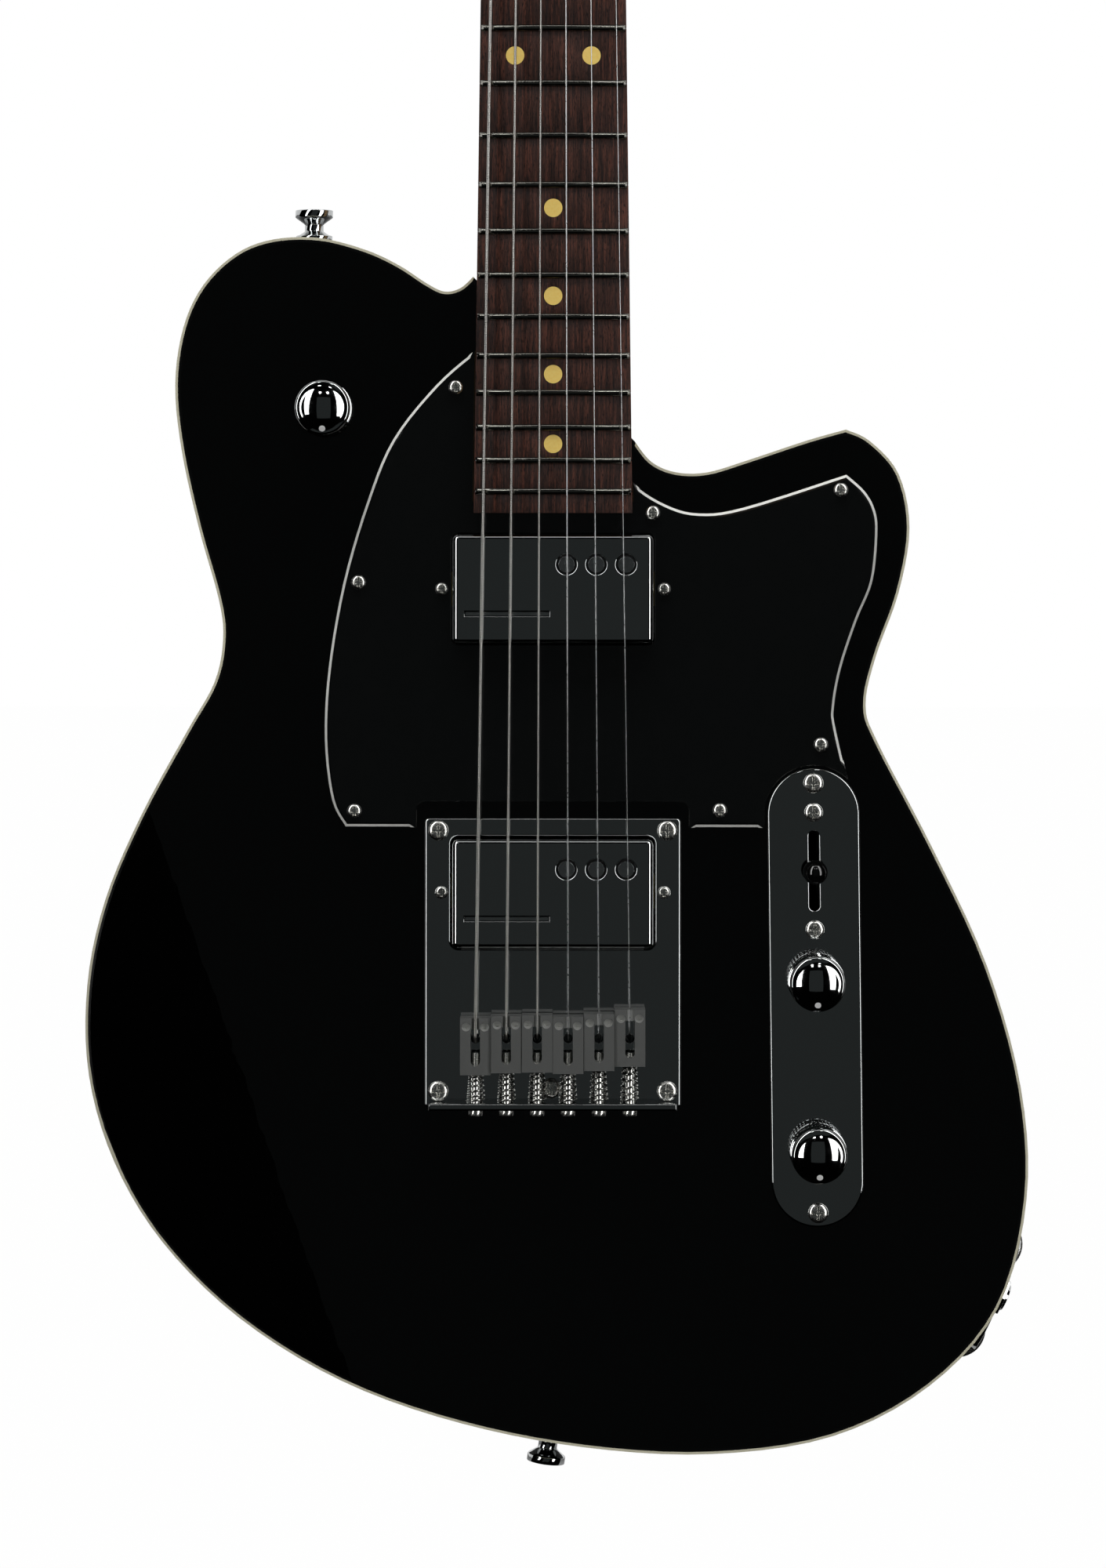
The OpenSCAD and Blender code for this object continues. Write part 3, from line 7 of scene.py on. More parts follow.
# %% Load the frame
import json
import math
import bmesh
import bpy
from mathutils import Matrix, Vector
from mathutils.bvhtree import BVHTree
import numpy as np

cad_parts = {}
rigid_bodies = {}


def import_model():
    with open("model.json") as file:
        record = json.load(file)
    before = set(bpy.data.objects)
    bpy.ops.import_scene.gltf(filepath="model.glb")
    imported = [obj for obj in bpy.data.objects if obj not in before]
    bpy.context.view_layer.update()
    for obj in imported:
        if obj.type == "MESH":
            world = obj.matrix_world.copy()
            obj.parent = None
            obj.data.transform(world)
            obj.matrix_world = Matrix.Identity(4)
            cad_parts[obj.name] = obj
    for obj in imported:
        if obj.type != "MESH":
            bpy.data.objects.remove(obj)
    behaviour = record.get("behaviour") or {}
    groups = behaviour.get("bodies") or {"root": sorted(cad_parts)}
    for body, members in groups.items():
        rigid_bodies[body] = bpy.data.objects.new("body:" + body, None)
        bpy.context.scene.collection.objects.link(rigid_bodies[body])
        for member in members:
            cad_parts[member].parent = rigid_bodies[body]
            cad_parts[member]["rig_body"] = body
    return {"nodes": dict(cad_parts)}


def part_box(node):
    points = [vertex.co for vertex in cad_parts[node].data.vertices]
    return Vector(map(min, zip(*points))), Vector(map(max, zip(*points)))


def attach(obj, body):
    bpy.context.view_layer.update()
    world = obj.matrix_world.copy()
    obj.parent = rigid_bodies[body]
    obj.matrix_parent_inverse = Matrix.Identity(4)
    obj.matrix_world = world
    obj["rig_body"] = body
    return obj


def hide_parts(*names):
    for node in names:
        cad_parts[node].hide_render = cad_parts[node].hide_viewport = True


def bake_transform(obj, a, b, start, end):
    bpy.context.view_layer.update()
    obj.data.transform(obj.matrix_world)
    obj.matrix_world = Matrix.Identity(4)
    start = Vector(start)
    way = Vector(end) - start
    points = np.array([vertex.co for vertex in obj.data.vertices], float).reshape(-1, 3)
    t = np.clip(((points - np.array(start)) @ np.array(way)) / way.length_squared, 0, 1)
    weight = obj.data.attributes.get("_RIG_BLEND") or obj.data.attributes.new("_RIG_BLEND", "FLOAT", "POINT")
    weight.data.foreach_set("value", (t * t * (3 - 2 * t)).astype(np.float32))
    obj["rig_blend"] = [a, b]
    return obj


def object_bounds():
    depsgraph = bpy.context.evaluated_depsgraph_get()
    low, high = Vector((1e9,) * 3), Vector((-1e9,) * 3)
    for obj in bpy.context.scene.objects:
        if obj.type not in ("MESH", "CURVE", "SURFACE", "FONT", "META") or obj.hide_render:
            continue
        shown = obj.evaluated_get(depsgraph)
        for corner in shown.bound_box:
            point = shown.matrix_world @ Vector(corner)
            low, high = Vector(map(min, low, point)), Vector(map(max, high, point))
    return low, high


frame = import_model()
cad_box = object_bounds()
nodes = frame["nodes"]
MM = 0.001
scene = bpy.context.scene
PICKUPS = ("neck_pickup", "bridge_pickup")


def in_scene(name, data):
    """A new object of the data, in the scene."""
    made = bpy.data.objects.new(name, data)
    scene.collection.objects.link(made)
    return made


print("CAD nodes:", len(nodes))

# %% [markdown]
# ## The camera
# The photograph was taken from about 1.8 m, straight on and a little above the middle of the body.
# A lens shift frames the body, as on a view camera, and the rest is done by aiming down. The points
# below are read off the photograph, scaled to a long side of 1568, and the camera was settled on
# them.

# %% Image points and camera
FRAME_W, FRAME_H = 1106, 1568
LONG_SIDE = max(FRAME_W, FRAME_H)
image_points = {
    "body_left": (84.3, None),
    "body_right": (1029.4, None),
    "body_bottom": (None, 1453.5),
    "left_horn_top": (None, 237.5),
    "fret_12": (None, 81.9),
    "fret_22": (None, 491.2),
    "neck_pickup_pole": (596.4, 564.2),
    "bridge_pickup_pole": (597.2, 869.3),
    "neck_pickup_left_screw": (440.0, 588.9),
    "bridge_pickup_right_screw": (664.5, 892.4),
    "selector_tip": (816.4, 873.0),
    "selector_lower_screw": (815.1, 929.4),
    "bridge_rear_screw": (551.4, 1089.5),
}

DISTANCE, HEIGHT = 1.8, -0.4984  # metres in front of the hanger point, and above it
TILT_DOWN, ROLL = 0.16, -0.04  # degrees
camera_data = bpy.data.cameras.new("camera")
camera_data.sensor_width = 36
camera_data.lens = 117.63
camera_data.shift_y = -0.14
camera = in_scene("camera", camera_data)
scene.camera = camera
camera.location = (0, -DISTANCE, HEIGHT)
camera.rotation_euler = (math.radians(90 - TILT_DOWN), math.radians(ROLL), 0)
bpy.context.view_layer.update()
to_camera = camera.matrix_world.inverted()


def on_photo(point):
    """The photograph's x, y of a point in the frame."""
    local = to_camera @ Vector(point)
    scale = LONG_SIDE * camera_data.lens / camera_data.sensor_width / -local.z
    x = FRAME_W / 2 + local.x * scale
    y = FRAME_H / 2 + camera_data.shift_y * LONG_SIDE - local.y * scale
    return x, y


print("camera at", [round(v, 3) for v in camera.location], "lens", camera_data.lens)

# %% [markdown]
# ## One way to write a colour and one way to add a node
# Colours are written as sRGB hex, the way a paint picker shows them, and one function turns them to
# the linear values that the renderer works in.

# %% Helpers for materials


def colour(hex_code):
    """Linear RGBA of an sRGB hex colour."""
    channels = [int(hex_code[i:i + 2], 16) / 255 for i in (1, 3, 5)]
    linear = [c / 12.92 if c <= 0.04045 else ((c + 0.055) / 1.055) ** 2.4 for c in channels]
    return (*linear, 1)


def set_inputs(node, inputs):
    """Gives each named input a value, or a link from a socket or from a node's first output."""
    for name, value in inputs.items():
        if isinstance(value, bpy.types.Node):
            value = value.outputs[0]
        if isinstance(value, bpy.types.NodeSocket):
            node.id_data.links.new(value, node.inputs[name])
        else:
            node.inputs[name].default_value = value


def add_node(tree, kind, inputs=None, **settings):
    """Adds a shader node of a kind, with its settings and its inputs."""
    made = tree.nodes.new("ShaderNode" + kind)
    for name, value in settings.items():
        setattr(made, name, value)
    set_inputs(made, inputs or {})
    return made


def new_finish(name, **values):
    """A material whose Principled shader has the given values, with its tree and shader."""
    made = bpy.data.materials.new(name)
    made.use_nodes = True
    shader = made.node_tree.nodes["Principled BSDF"]
    set_inputs(shader, {socket.replace("_", " "): value for socket, value in values.items()})
    return made, made.node_tree, shader


def stretched(tree, size_mm):
    """Object coordinates scaled so that one pattern cell has the given size in millimetres."""
    place = add_node(tree, "TexCoord")
    return add_node(tree, "Mapping", {"Vector": place.outputs["Object"],
                                      "Scale": [1000 / s for s in size_mm]})


def set_stops(ramp, *stops):
    """Gives a colour ramp its stops, each a place and a shade: the two ends, then any between."""
    elements = ramp.color_ramp.elements
    for k, (place, shade) in enumerate(stops):
        stop = elements[k] if k < 2 else elements.new(place)
        stop.position, stop.color = place, colour(shade)


def clouded(name, low, high, cell_mm, detail, **values):
    """A finish whose colour drifts between two shades, with its tree, shader and ramp."""
    made, tree, shader = new_finish(name, **values)
    cloud = add_node(tree, "TexNoise", {"Vector": stretched(tree, cell_mm), "Detail": detail})
    ramp = add_node(tree, "ValToRGB", {"Fac": cloud})
    set_stops(ramp, (0, low), (1, high))
    set_inputs(shader, {"Base Color": ramp})
    return made, tree, shader, ramp


print("mid grey:", round(colour("#808080")[0], 3), "linear")

# %% [markdown]
# ## The studio
# Gloss black and black nickel show little but what they reflect, so the studio is the finish. A
# grey card stands behind the camera, black cloth hangs around it, and everything beyond is white.
# Camera rays pass through cloth and card, which are there for reflections alone. The floor is plain
# and white.

# %% World
AMBIENT = 0.24  # how strongly the white world lights what doesn't mirror it
world = bpy.data.worlds.new("white studio")
scene.world = world
world.use_nodes = True
tree = world.node_tree
path = add_node(tree, "LightPath")
seen = add_node(tree, "Math", {0: path.outputs["Is Camera Ray"], 1: path.outputs["Is Glossy Ray"]},
                operation="MAXIMUM")
seen = add_node(tree, "Math", {0: seen, 1: path.outputs["Is Transmission Ray"]}, operation="MAXIMUM")
strength = add_node(tree, "MapRange", {"Value": seen, "To Min": AMBIENT})
set_inputs(tree.nodes["Background"], {"Strength": strength, "Color": colour("#ffffff")})
scene.view_settings.view_transform = "Standard"
print("world:", world.name)

# %% Floor


def flat_sheet(name, width, height, location, rotation=(0, 0, 0)):
    """A flat stage piece, width by height in metres."""
    mesh = bpy.data.meshes.new(name)
    w, h = width / 2, height / 2
    mesh.from_pydata([(-w, -h, 0), (w, -h, 0), (w, h, 0), (-w, h, 0)], [], [(0, 1, 2, 3)])
    made = in_scene(name, mesh)
    made.location = location
    made.rotation_euler = rotation
    return made


FLOOR_SIZE, FLOOR_GAP = 60, 0.65
FLOOR_GLOW = 0.99  # share of plain white in what the camera sees of it
FLOOR_Z = cad_box[0].z - FLOOR_GAP
floor = flat_sheet("floor", FLOOR_SIZE, FLOOR_SIZE, (0, 0, FLOOR_Z))
floor_finish, tree, shader = new_finish("matt_white_floor", Base_Color=colour("#e8e8e8"),
                                        Roughness=0.9)
path = add_node(tree, "LightPath")
glow = add_node(tree, "Emission", {"Color": colour("#ffffff"), "Strength": 1})
share = add_node(tree, "Math", {0: path.outputs["Is Camera Ray"], 1: FLOOR_GLOW},
                 operation="MULTIPLY")
mix = add_node(tree, "MixShader", {0: share, 1: shader, 2: glow})
set_inputs(tree.nodes["Material Output"], {"Surface": mix})
floor.data.materials.append(floor_finish)
print("floor at", round(FLOOR_Z, 3))

# %% Cloth and card
UPRIGHT = (math.radians(90), 0, 0)
SIDEWAYS = (math.radians(90), 0, math.radians(90))
LEVEL = (0, 0, 0)
BLACK, GREY = "#020202", "#303333"
cards = [("black_cloth", 14, 9, (0, -1.98, -0.45), UPRIGHT, BLACK),
         ("black_cloth_left", 2.3, 9, (-3.5, -0.85, -0.45), SIDEWAYS, BLACK),
         ("black_cloth_right", 2.3, 9, (3.5, -0.85, -0.45), SIDEWAYS, BLACK),
         ("black_cloth_above", 7, 2.3, (0, -0.85, 2.2), LEVEL, BLACK),
         ("black_cloth_below", 7, 2.3, (0, -0.85, FLOOR_Z + 0.02), LEVEL, BLACK),
         ("grey_card", 1.3, 2.2, (0, -1.93, -0.5), UPRIGHT, GREY)]
for name, width, height, location, rotation, shade in cards:
    card = flat_sheet(name, width, height, location, rotation)
    cloth, tree, shader = new_finish(name, Roughness=1)
    glow = add_node(tree, "Emission", {"Color": colour(shade), "Strength": 1})
    set_inputs(tree.nodes["Material Output"], {"Surface": glow})
    card.data.materials.append(cloth)
    card.visible_camera = card.visible_diffuse = card.visible_shadow = False
print("cards:", len(cards))

# %% [markdown]
# ## Lamps
# Two tall strips stand left and right, and a long one hangs above. They are for reflections alone,
# and draw the bright lines along every gloss edge. A wide lamp above lights what doesn't mirror,
# and isn't seen in reflections. Two small lamps above the camera give the screws and the strings
# their sparkle.

# %% Lights
lamps = [("strip_right", (1.3, -1.34, 0.2), 0.62, 3.4, 32.0),
         ("strip_left", (-1.2, -1.2, 0.25), 0.42, 2.9, 24.0),
         ("lamp_upper_left", (-0.32, -1.5, 0.85), 0.16, 0.16, 1.0),
         ("lamp_upper_right", (0.32, -1.5, 0.85), 0.16, 0.16, 1.0),
         ("strip_above", (0, -0.9, 1.7), 2.2, 0.25, 4.5),
         ("lamp_above", (0, -0.7, 1.7), 2.2, 0.6, 50.0)]
AIM = Vector((0, 0, -0.55))  # about the middle of the body
for name, location, width, height, power in lamps:
    light = bpy.data.lights.new(name, "AREA")
    light.shape = "RECTANGLE"
    light.size, light.size_y = width, height
    light.energy = power
    lamp = in_scene(name, light)
    lamp.location = location
    lamp.visible_camera = False
    lamp.visible_diffuse = "lamp" in name
    lamp.visible_glossy = name != "lamp_above"
    lamp.rotation_euler = (AIM - Vector(location)).to_track_quat("-Z", "Y").to_euler()
print("lights:", len(lamps))

# %% [markdown]
# ## Gloss lacquer
# The body is sealed wood under a thick black polyester lacquer, sprayed and buffed. The colour is
# almost nothing, and the coat on top gives the mirror. Buffing leaves a very slight waviness.

# %% Lacquer
lacquer, tree, shader = new_finish("black_polyester_lacquer", Base_Color=colour("#020202"),
                                   Roughness=0.02, IOR=1.5)
wave = add_node(tree, "TexNoise", {"Vector": stretched(tree, (45, 45, 45)), "Detail": 1})
bump = add_node(tree, "Bump", {"Height": wave, "Strength": 0.25, "Distance": 0.0002})
set_inputs(shader, {"Normal": bump})
print("lacquer:", lacquer.name)

# %% [markdown]
# ## Binding
# The binding is cream ABS, scraped flush and buffed with the lacquer, which still runs over the
# inner part of the strip. An attribute of the mesh is 1 where the strip is bare.

# %% Binding plastic
BARE_FROM = 0.5
binding_plastic, tree, shader, ramp = clouded("cream_ABS_binding", "#cdc8ae", "#dad6bf", (60, 60, 60),
                                              3, Roughness=0.22, IOR=1.53)
bare = add_node(tree, "Attribute", attribute_name="bare_share")
bare = add_node(tree, "Math", {0: bare.outputs["Fac"], 1: BARE_FROM}, operation="GREATER_THAN")
# A Mix node of colours has its two colours in sockets 6 and 7, and its result in output 2.
cover = add_node(tree, "Mix", {0: bare, 6: colour("#020202"), 7: ramp}, data_type="RGBA")
set_inputs(shader, {"Base Color": cover.outputs[2]})
print("binding:", binding_plastic.name)

# %% [markdown]
# ## Pickguard
# The pickguard is a sheet of black, white and black ABS, and its cut edge is bevelled, so that the
# white ply shows as a line. The plies are coloured by their height above the body.

# %% Pickguard plastic
GUARD_TOP, GUARD_FOOT = (corner.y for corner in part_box("pickguard"))
WHITE_FROM, BLACK_FROM = 0.38, 0.74  # shares of the sheet's thickness
guard_plastic, tree, shader = new_finish("three_ply_ABS_sheet", IOR=1.53)
place = add_node(tree, "TexCoord")
depth = add_node(tree, "SeparateXYZ", {"Vector": place.outputs["Object"]}).outputs["Y"]
height = add_node(tree, "MapRange", {"Value": depth, "From Min": GUARD_FOOT, "From Max": GUARD_TOP})
plies = add_node(tree, "ValToRGB", {"Fac": height})
plies.color_ramp.interpolation = "CONSTANT"
set_stops(plies, (0, "#090a0a"), (WHITE_FROM, "#e9e9e4"), (BLACK_FROM, "#090a0a"))
set_inputs(shader, {"Base Color": plies})
smudge = add_node(tree, "TexNoise", {"Vector": stretched(tree, (18, 18, 18)), "Detail": 6,
                                     "Roughness": 0.65})
sheen = add_node(tree, "MapRange", {"Value": smudge, "From Min": 0.35, "From Max": 0.75,
                                    "To Min": 0.06, "To Max": 0.2})
set_inputs(shader, {"Roughness": sheen})
print("pickguard:", guard_plastic.name)

# %% [markdown]
# ## Small plastics, enamel and bone
# Bobbins and the back cover are moulded black ABS with a fine grain, and the selector's tip is the
# same, polished. The position dots are clouded amber celluloid, and the nut is bleached bone.

# %% Small plastics
black_plastic, tree, shader = new_finish("black_moulded_ABS", Base_Color=colour("#121212"),
                                         Roughness=0.32, IOR=1.53)
grain = add_node(tree, "TexNoise", {"Vector": stretched(tree, (0.6, 0.6, 0.6))})
bump = add_node(tree, "Bump", {"Height": grain, "Strength": 0.1, "Distance": 0.0001})
set_inputs(shader, {"Normal": bump})

dot_plastic = clouded("amber_celluloid_dots", "#fbd063", "#ffe48c", (4, 4, 4), 3, Roughness=0.2,
                      IOR=1.5)[0]
gloss_plastic = new_finish("polished_black_ABS", Base_Color=colour("#070707"), Roughness=0.06,
                           IOR=1.53)[0]
white_enamel = new_finish("white_enamel_dot", Base_Color=colour("#f2f2f0"), Roughness=0.3, IOR=1.5)[0]
brown_resin = new_finish("brown_dipped_capacitor", Base_Color=colour("#8a4f1c"), Roughness=0.3,
                         IOR=1.5)[0]
bone = clouded("bleached_bone", "#d8d0b4", "#ece7d6", (8, 1, 1), 4, Roughness=0.35, IOR=1.55)[0]
print("small parts:", black_plastic.name, dot_plastic.name, bone.name)

# %% [markdown]
# ## Woods
# The fingerboard is rosewood, open-pored and oiled, with dark streaks and short pores that run
# along the strings. Dry pores scatter the sheen. The neck is hard maple under a thin satin lacquer,
# with fine grain lines along it.

# %% Rosewood
rosewood, tree, shader = new_finish("oiled_rosewood", Roughness=0.6, IOR=1.45,
                                    Specular_IOR_Level=0.25)
streak = add_node(tree, "TexNoise", {"Vector": stretched(tree, (4.2, 4.2, 90)), "Detail": 8,
                                     "Roughness": 0.72})
ramp = add_node(tree, "ValToRGB", {"Fac": streak})
set_stops(ramp, (0.36, "#1d0d08"), (0.66, "#673828"), (0.5, "#3e2117"))
pores = add_node(tree, "TexNoise", {"Vector": stretched(tree, (0.8, 0.8, 9)), "Detail": 2})
pit = add_node(tree, "MapRange", {"Value": pores, "From Min": 0.36, "From Max": 0.44})
dark = add_node(tree, "Mix", {0: pit, 6: colour("#100705"), 7: ramp}, data_type="RGBA")
bump = add_node(tree, "Bump", {"Height": pit, "Strength": 0.6, "Distance": 0.0003})
set_inputs(shader, {"Base Color": dark.outputs[2], "Normal": bump})
print("fingerboard:", rosewood.name)

# %% Maple
maple, tree, shader = new_finish("satin_lacquered_maple", Roughness=0.38, IOR=1.5)
rings = add_node(tree, "TexNoise", {"Vector": stretched(tree, (5, 5, 260)), "Detail": 4})
fine = add_node(tree, "TexNoise", {"Vector": stretched(tree, (0.8, 0.8, 25)), "Detail": 3})
both = add_node(tree, "Mix", {0: 0.35, 2: rings, 3: fine})
ramp = add_node(tree, "ValToRGB", {"Fac": both})
set_stops(ramp, (0.32, "#c99a5f"), (0.68, "#e6c492"))
bump = add_node(tree, "Bump", {"Height": fine, "Strength": 0.08, "Distance": 0.0001})
set_inputs(shader, {"Base Color": ramp, "Normal": bump})
print("neck:", maple.name)

# %% [markdown]
# ## Metals
# Black nickel is a dark mirror plating on plates, covers and knobs. Screws and strings are bright
# nickel, frets are polished nickel silver, and the saddles are blasted before they are plated,
# which leaves them satin. Handling leaves a faint haze, so each roughness moves a little from place
# to place.

# %% Plated metals


def plated(name, shade, low, high, cell_mm):
    """A metal finish whose roughness drifts between two values, over cells of cell_mm."""
    made, tree, shader = new_finish(name, Metallic=1, Base_Color=colour(shade))
    haze = add_node(tree, "TexNoise", {"Vector": stretched(tree, (cell_mm,) * 3), "Detail": 5})
    drift = add_node(tree, "MapRange", {"Value": haze, "From Min": 0.3, "From Max": 0.7,
                                        "To Min": low, "To Max": high})
    set_inputs(shader, {"Roughness": drift})
    return made


black_nickel = plated("polished_black_nickel", "#b4b6b6", 0.03, 0.08, 14)
bright_nickel = plated("bright_nickel", "#e2e1dc", 0.16, 0.3, 3)
nickel_silver = plated("polished_nickel_silver", "#8b8982", 0.1, 0.17, 5)
satin_nickel = plated("blasted_satin_nickel", "#8b8c8a", 0.4, 0.48, 2)
plain_steel = plated("drawn_plain_steel", "#dedede", 0.25, 0.35, 5)
grub_steel = plated("ground_grub_steel", "#e8e8e4", 0.35, 0.45, 2)
spring_steel = plated("drawn_spring_steel", "#a2a29e", 0.12, 0.2, 3)
pot_steel = plated("zinc_plated_steel", "#b9bab6", 0.25, 0.4, 4)
polished_steel = plated("nickel_plated_pole_steel", "#c0c2c2", 0.12, 0.2, 4)
brass = plated("stamped_brass", "#c6a35a", 0.25, 0.4, 5)
print("metals:", black_nickel.name, "and nine more")

# %% Wound string and cloth-covered wire
# The wire wound round a thick string is too fine to show turn by turn, so it is drawn coarser.
wound_string, tree, shader = new_finish("roundwound_nickel_string", Metallic=1, Roughness=0.28,
                                        Base_Color=colour("#b9b7b2"))
winding = add_node(tree, "TexWave", {"Vector": stretched(tree, (1, 1, 1)), "Scale": 0.62},
                   bands_direction="Z")
bump = add_node(tree, "Bump", {"Height": winding.outputs["Fac"], "Strength": 0.7, "Distance": 0.0001})
set_inputs(shader, {"Normal": bump})

cloth_wire, tree, shader = new_finish("waxed_cloth_wire", Base_Color=colour("#d6d2c2"), Roughness=0.7,
                                      IOR=1.5)
weave = add_node(tree, "TexWave", {"Vector": stretched(tree, (1.6, 1.6, 1.6)), "Scale": 1})
bump = add_node(tree, "Bump", {"Height": weave.outputs["Fac"], "Strength": 0.4, "Distance": 0.0002})
set_inputs(shader, {"Normal": bump})
print("finishes in all:", len(bpy.data.materials))

# %% [markdown]
# ## Dressing the CAD nodes
# A node whose shape is right stays. Its old material is swapped for the new finish, and a few
# modifiers break its sharp edges, because no real edge is perfectly sharp and a narrow bevel is
# what catches the light. Weld and planar decimation first turn CAD triangles back into whole faces.

# %% Finish and edge of each node
EDGE = {"fine": 0.12, "small": 0.3, "soft": 0.6}  # width of the broken edge in mm
WELD = 0.01 * MM
FLAT = math.radians(0.3)  # faces that differ by less are one flat face
dress = [
    (maple, "soft", "neck"), (rosewood, "small", "fingerboard"), (bone, "small", "nut"),
    (dot_plastic, None, "inlay_dots"), (gloss_plastic, None, "switch_lever"),
    (black_plastic, "small", "back_cover"), (brown_resin, "soft", "capacitor"),
    (cloth_wire, None, "wiring"), (plain_steel, None, "truss_rod"),
    (pot_steel, None, "switch_frame pot_housings"), (bright_nickel, "small", "pot_nuts"),
    (bright_nickel, None, "machine_screws plate_screws small_screws"),
    (bright_nickel, "fine", "neck_screws saddle_screws"),
    (black_nickel, "fine", "string_ferrules"), (black_nickel, "soft", "tuner_housings"),
    (black_nickel, "small", "neck_ferrules string_bar output_jack jack_plate strap_buttons"),
    (black_nickel, "small", "tuner_bushings"),
]
for i in range(1, 7):
    dress += [(bright_nickel, "fine", f"tuner_post_{i}"), (black_nickel, "soft", f"tuner_button_{i}")]


def break_edges(piece, width_mm, angle=35):
    """Merges CAD triangles into whole faces and bevels the edges sharper than angle degrees."""
    weld = piece.modifiers.new("weld", "WELD")
    weld.merge_threshold = WELD
    flat = piece.modifiers.new("flat", "DECIMATE")
    flat.decimate_type = "DISSOLVE"
    flat.angle_limit = FLAT
    bevel = piece.modifiers.new("edge", "BEVEL")
    bevel.width = width_mm * MM
    bevel.segments = 2
    bevel.angle_limit = math.radians(angle)
    bevel.harden_normals = True


for finish, edge, names in dress:
    for node in [nodes[name] for name in names.split()]:
        node.data.materials.clear()
        node.data.materials.append(finish)
        if edge:
            break_edges(node, EDGE[edge])
print("dressed the nodes that stay")

# %% [markdown]
# ## New pieces from CAD meshes
# Where a node's own shape isn't enough, a new piece stands in for it. It starts from the node's
# mesh, with its vertices joined again and its walls made whole. One function hands each piece to
# the frame.

# %% Meshes in, groups that touch, and pieces out


def welded(node):
    """A bmesh of a CAD node with its vertices joined, ready for bevel weights."""
    mesh = bmesh.new()
    mesh.from_mesh(nodes[node].data)
    mesh.edges.layers.float.new("bevel_weight_edge")
    bmesh.ops.remove_doubles(mesh, verts=mesh.verts[:], dist=WELD)
    walls = [e for e in mesh.edges if all(abs(f.normal.y) < 0.5 for f in e.link_faces)]
    bmesh.ops.dissolve_limit(mesh, angle_limit=FLAT, edges=walls,
                             verts=list({v for e in walls for v in e.verts}))
    return mesh


def new_piece(name, mesh, finishes, body, replaced, angle=35):
    """Makes an object of a bmesh, shades it, and hands it to the frame."""
    data = bpy.data.meshes.new(name)
    mesh.to_mesh(data)
    mesh.free()
    if "custom_normal" in data.attributes:  # normals of the old triangles
        data.attributes.remove(data.attributes["custom_normal"])
    data.shade_smooth()
    data.set_sharp_from_angle(angle=math.radians(angle))
    for finish in finishes:
        data.materials.append(finish)
    piece = in_scene(name, data)
    if body:
        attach(piece, body)
    if replaced:
        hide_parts(replaced)
    return piece


def weigh_normals(piece):
    """Lets wide faces set the shading, which keeps them flat to the eye."""
    piece.modifiers.new("level", "WEIGHTED_NORMAL").keep_sharp = True


def extent(spots):
    """The lowest and the highest corner of the box around some spots."""
    return [Vector([pick(spot[i] for spot in spots) for i in range(3)]) for pick in (min, max)]


def groups_of(items, next_to):
    """Groups of items that touch. next_to lists what touches one item."""
    left, groups = set(items), []
    while left:
        group, front = [], [left.pop()]
        while front:
            item = front.pop()
            group.append(item)
            near = {other for other in next_to(item) if other in left}
            left -= near
            front += near
        groups.append(group)
    return groups


def islands(mesh):
    """The faces of each separate solid, with the two corners of the box around it."""
    found = groups_of(mesh.faces, lambda face: (f for v in face.verts for f in v.link_faces))
    return [(group, *extent([v.co for face in group for v in face.verts])) for group in found]


def middle(edge):
    return (edge.verts[0].co + edge.verts[1].co) / 2


def longest_run(edges):
    """Of the groups of edges that touch, the one that reaches furthest."""
    def reach(group):
        low, high = extent([middle(edge) for edge in group])
        return sum(high - low)
    return max(groups_of(edges, lambda edge: (e for v in edge.verts for e in v.link_edges)), key=reach)


fret_solids = welded("frets")
print("frets:", len(islands(fret_solids)))

# %% [markdown]
# ## Worked edges
# A modifier bevels every sharp edge alike. The body and the binding each have one edge that is
# shaped far more than the rest, so their copies have a bevel weight on just the edges that were
# worked.

# %% Body and binding
BACK_RIM_MM, BINDING_RIM_MM = 1.4, 1.3


def is_sharp(edge):
    """True of an edge between two faces that meet at more than 30 degrees."""
    return len(edge.link_faces) == 2 and edge.calc_face_angle() > math.radians(30)


def near_level(edge, y, reach=0.1 * MM):
    return all(abs(v.co.y - y) < reach for v in edge.verts)


def worked(node, mesh, edges, finishes, width_mm, segments, clamp=True):
    """A rebuilt node whose given edges are rounded by width_mm."""
    layer = mesh.edges.layers.float["bevel_weight_edge"]
    for edge in edges:
        edge[layer] = 1
    piece = new_piece(node + "_worked", mesh, finishes, nodes[node]["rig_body"], node)
    bevel = piece.modifiers.new("edge", "BEVEL")
    bevel.limit_method = "WEIGHT"
    bevel.use_clamp_overlap = clamp
    bevel.width = width_mm * MM
    bevel.segments = segments
    bevel.harden_normals = clamp
    if not clamp:
        weigh_normals(piece)
    return piece


body_mesh = welded("body")
body_tree = BVHTree.FromBMesh(body_mesh)
body_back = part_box("body")[1].y
back_rim = longest_run([e for e in body_mesh.edges if is_sharp(e) and near_level(e, body_back)])
worked("body", body_mesh, back_rim, [lacquer], BACK_RIM_MM, 3, clamp=False)

binding_mesh = welded("binding")
bare_share = binding_mesh.verts.layers.float.new("bare_share")


def on_outside(edge):
    """True of an edge that the body's wood doesn't touch: the inner wall of the binding is glued."""
    probe = middle(edge) + Vector((0, 3 * MM, 0))
    return body_tree.find_nearest(probe)[3] > 1 * MM


def faces_front(part):
    """True of an edge or a vertex that has a face to the front."""
    return any(face.normal.y < -0.5 for face in part.link_faces)


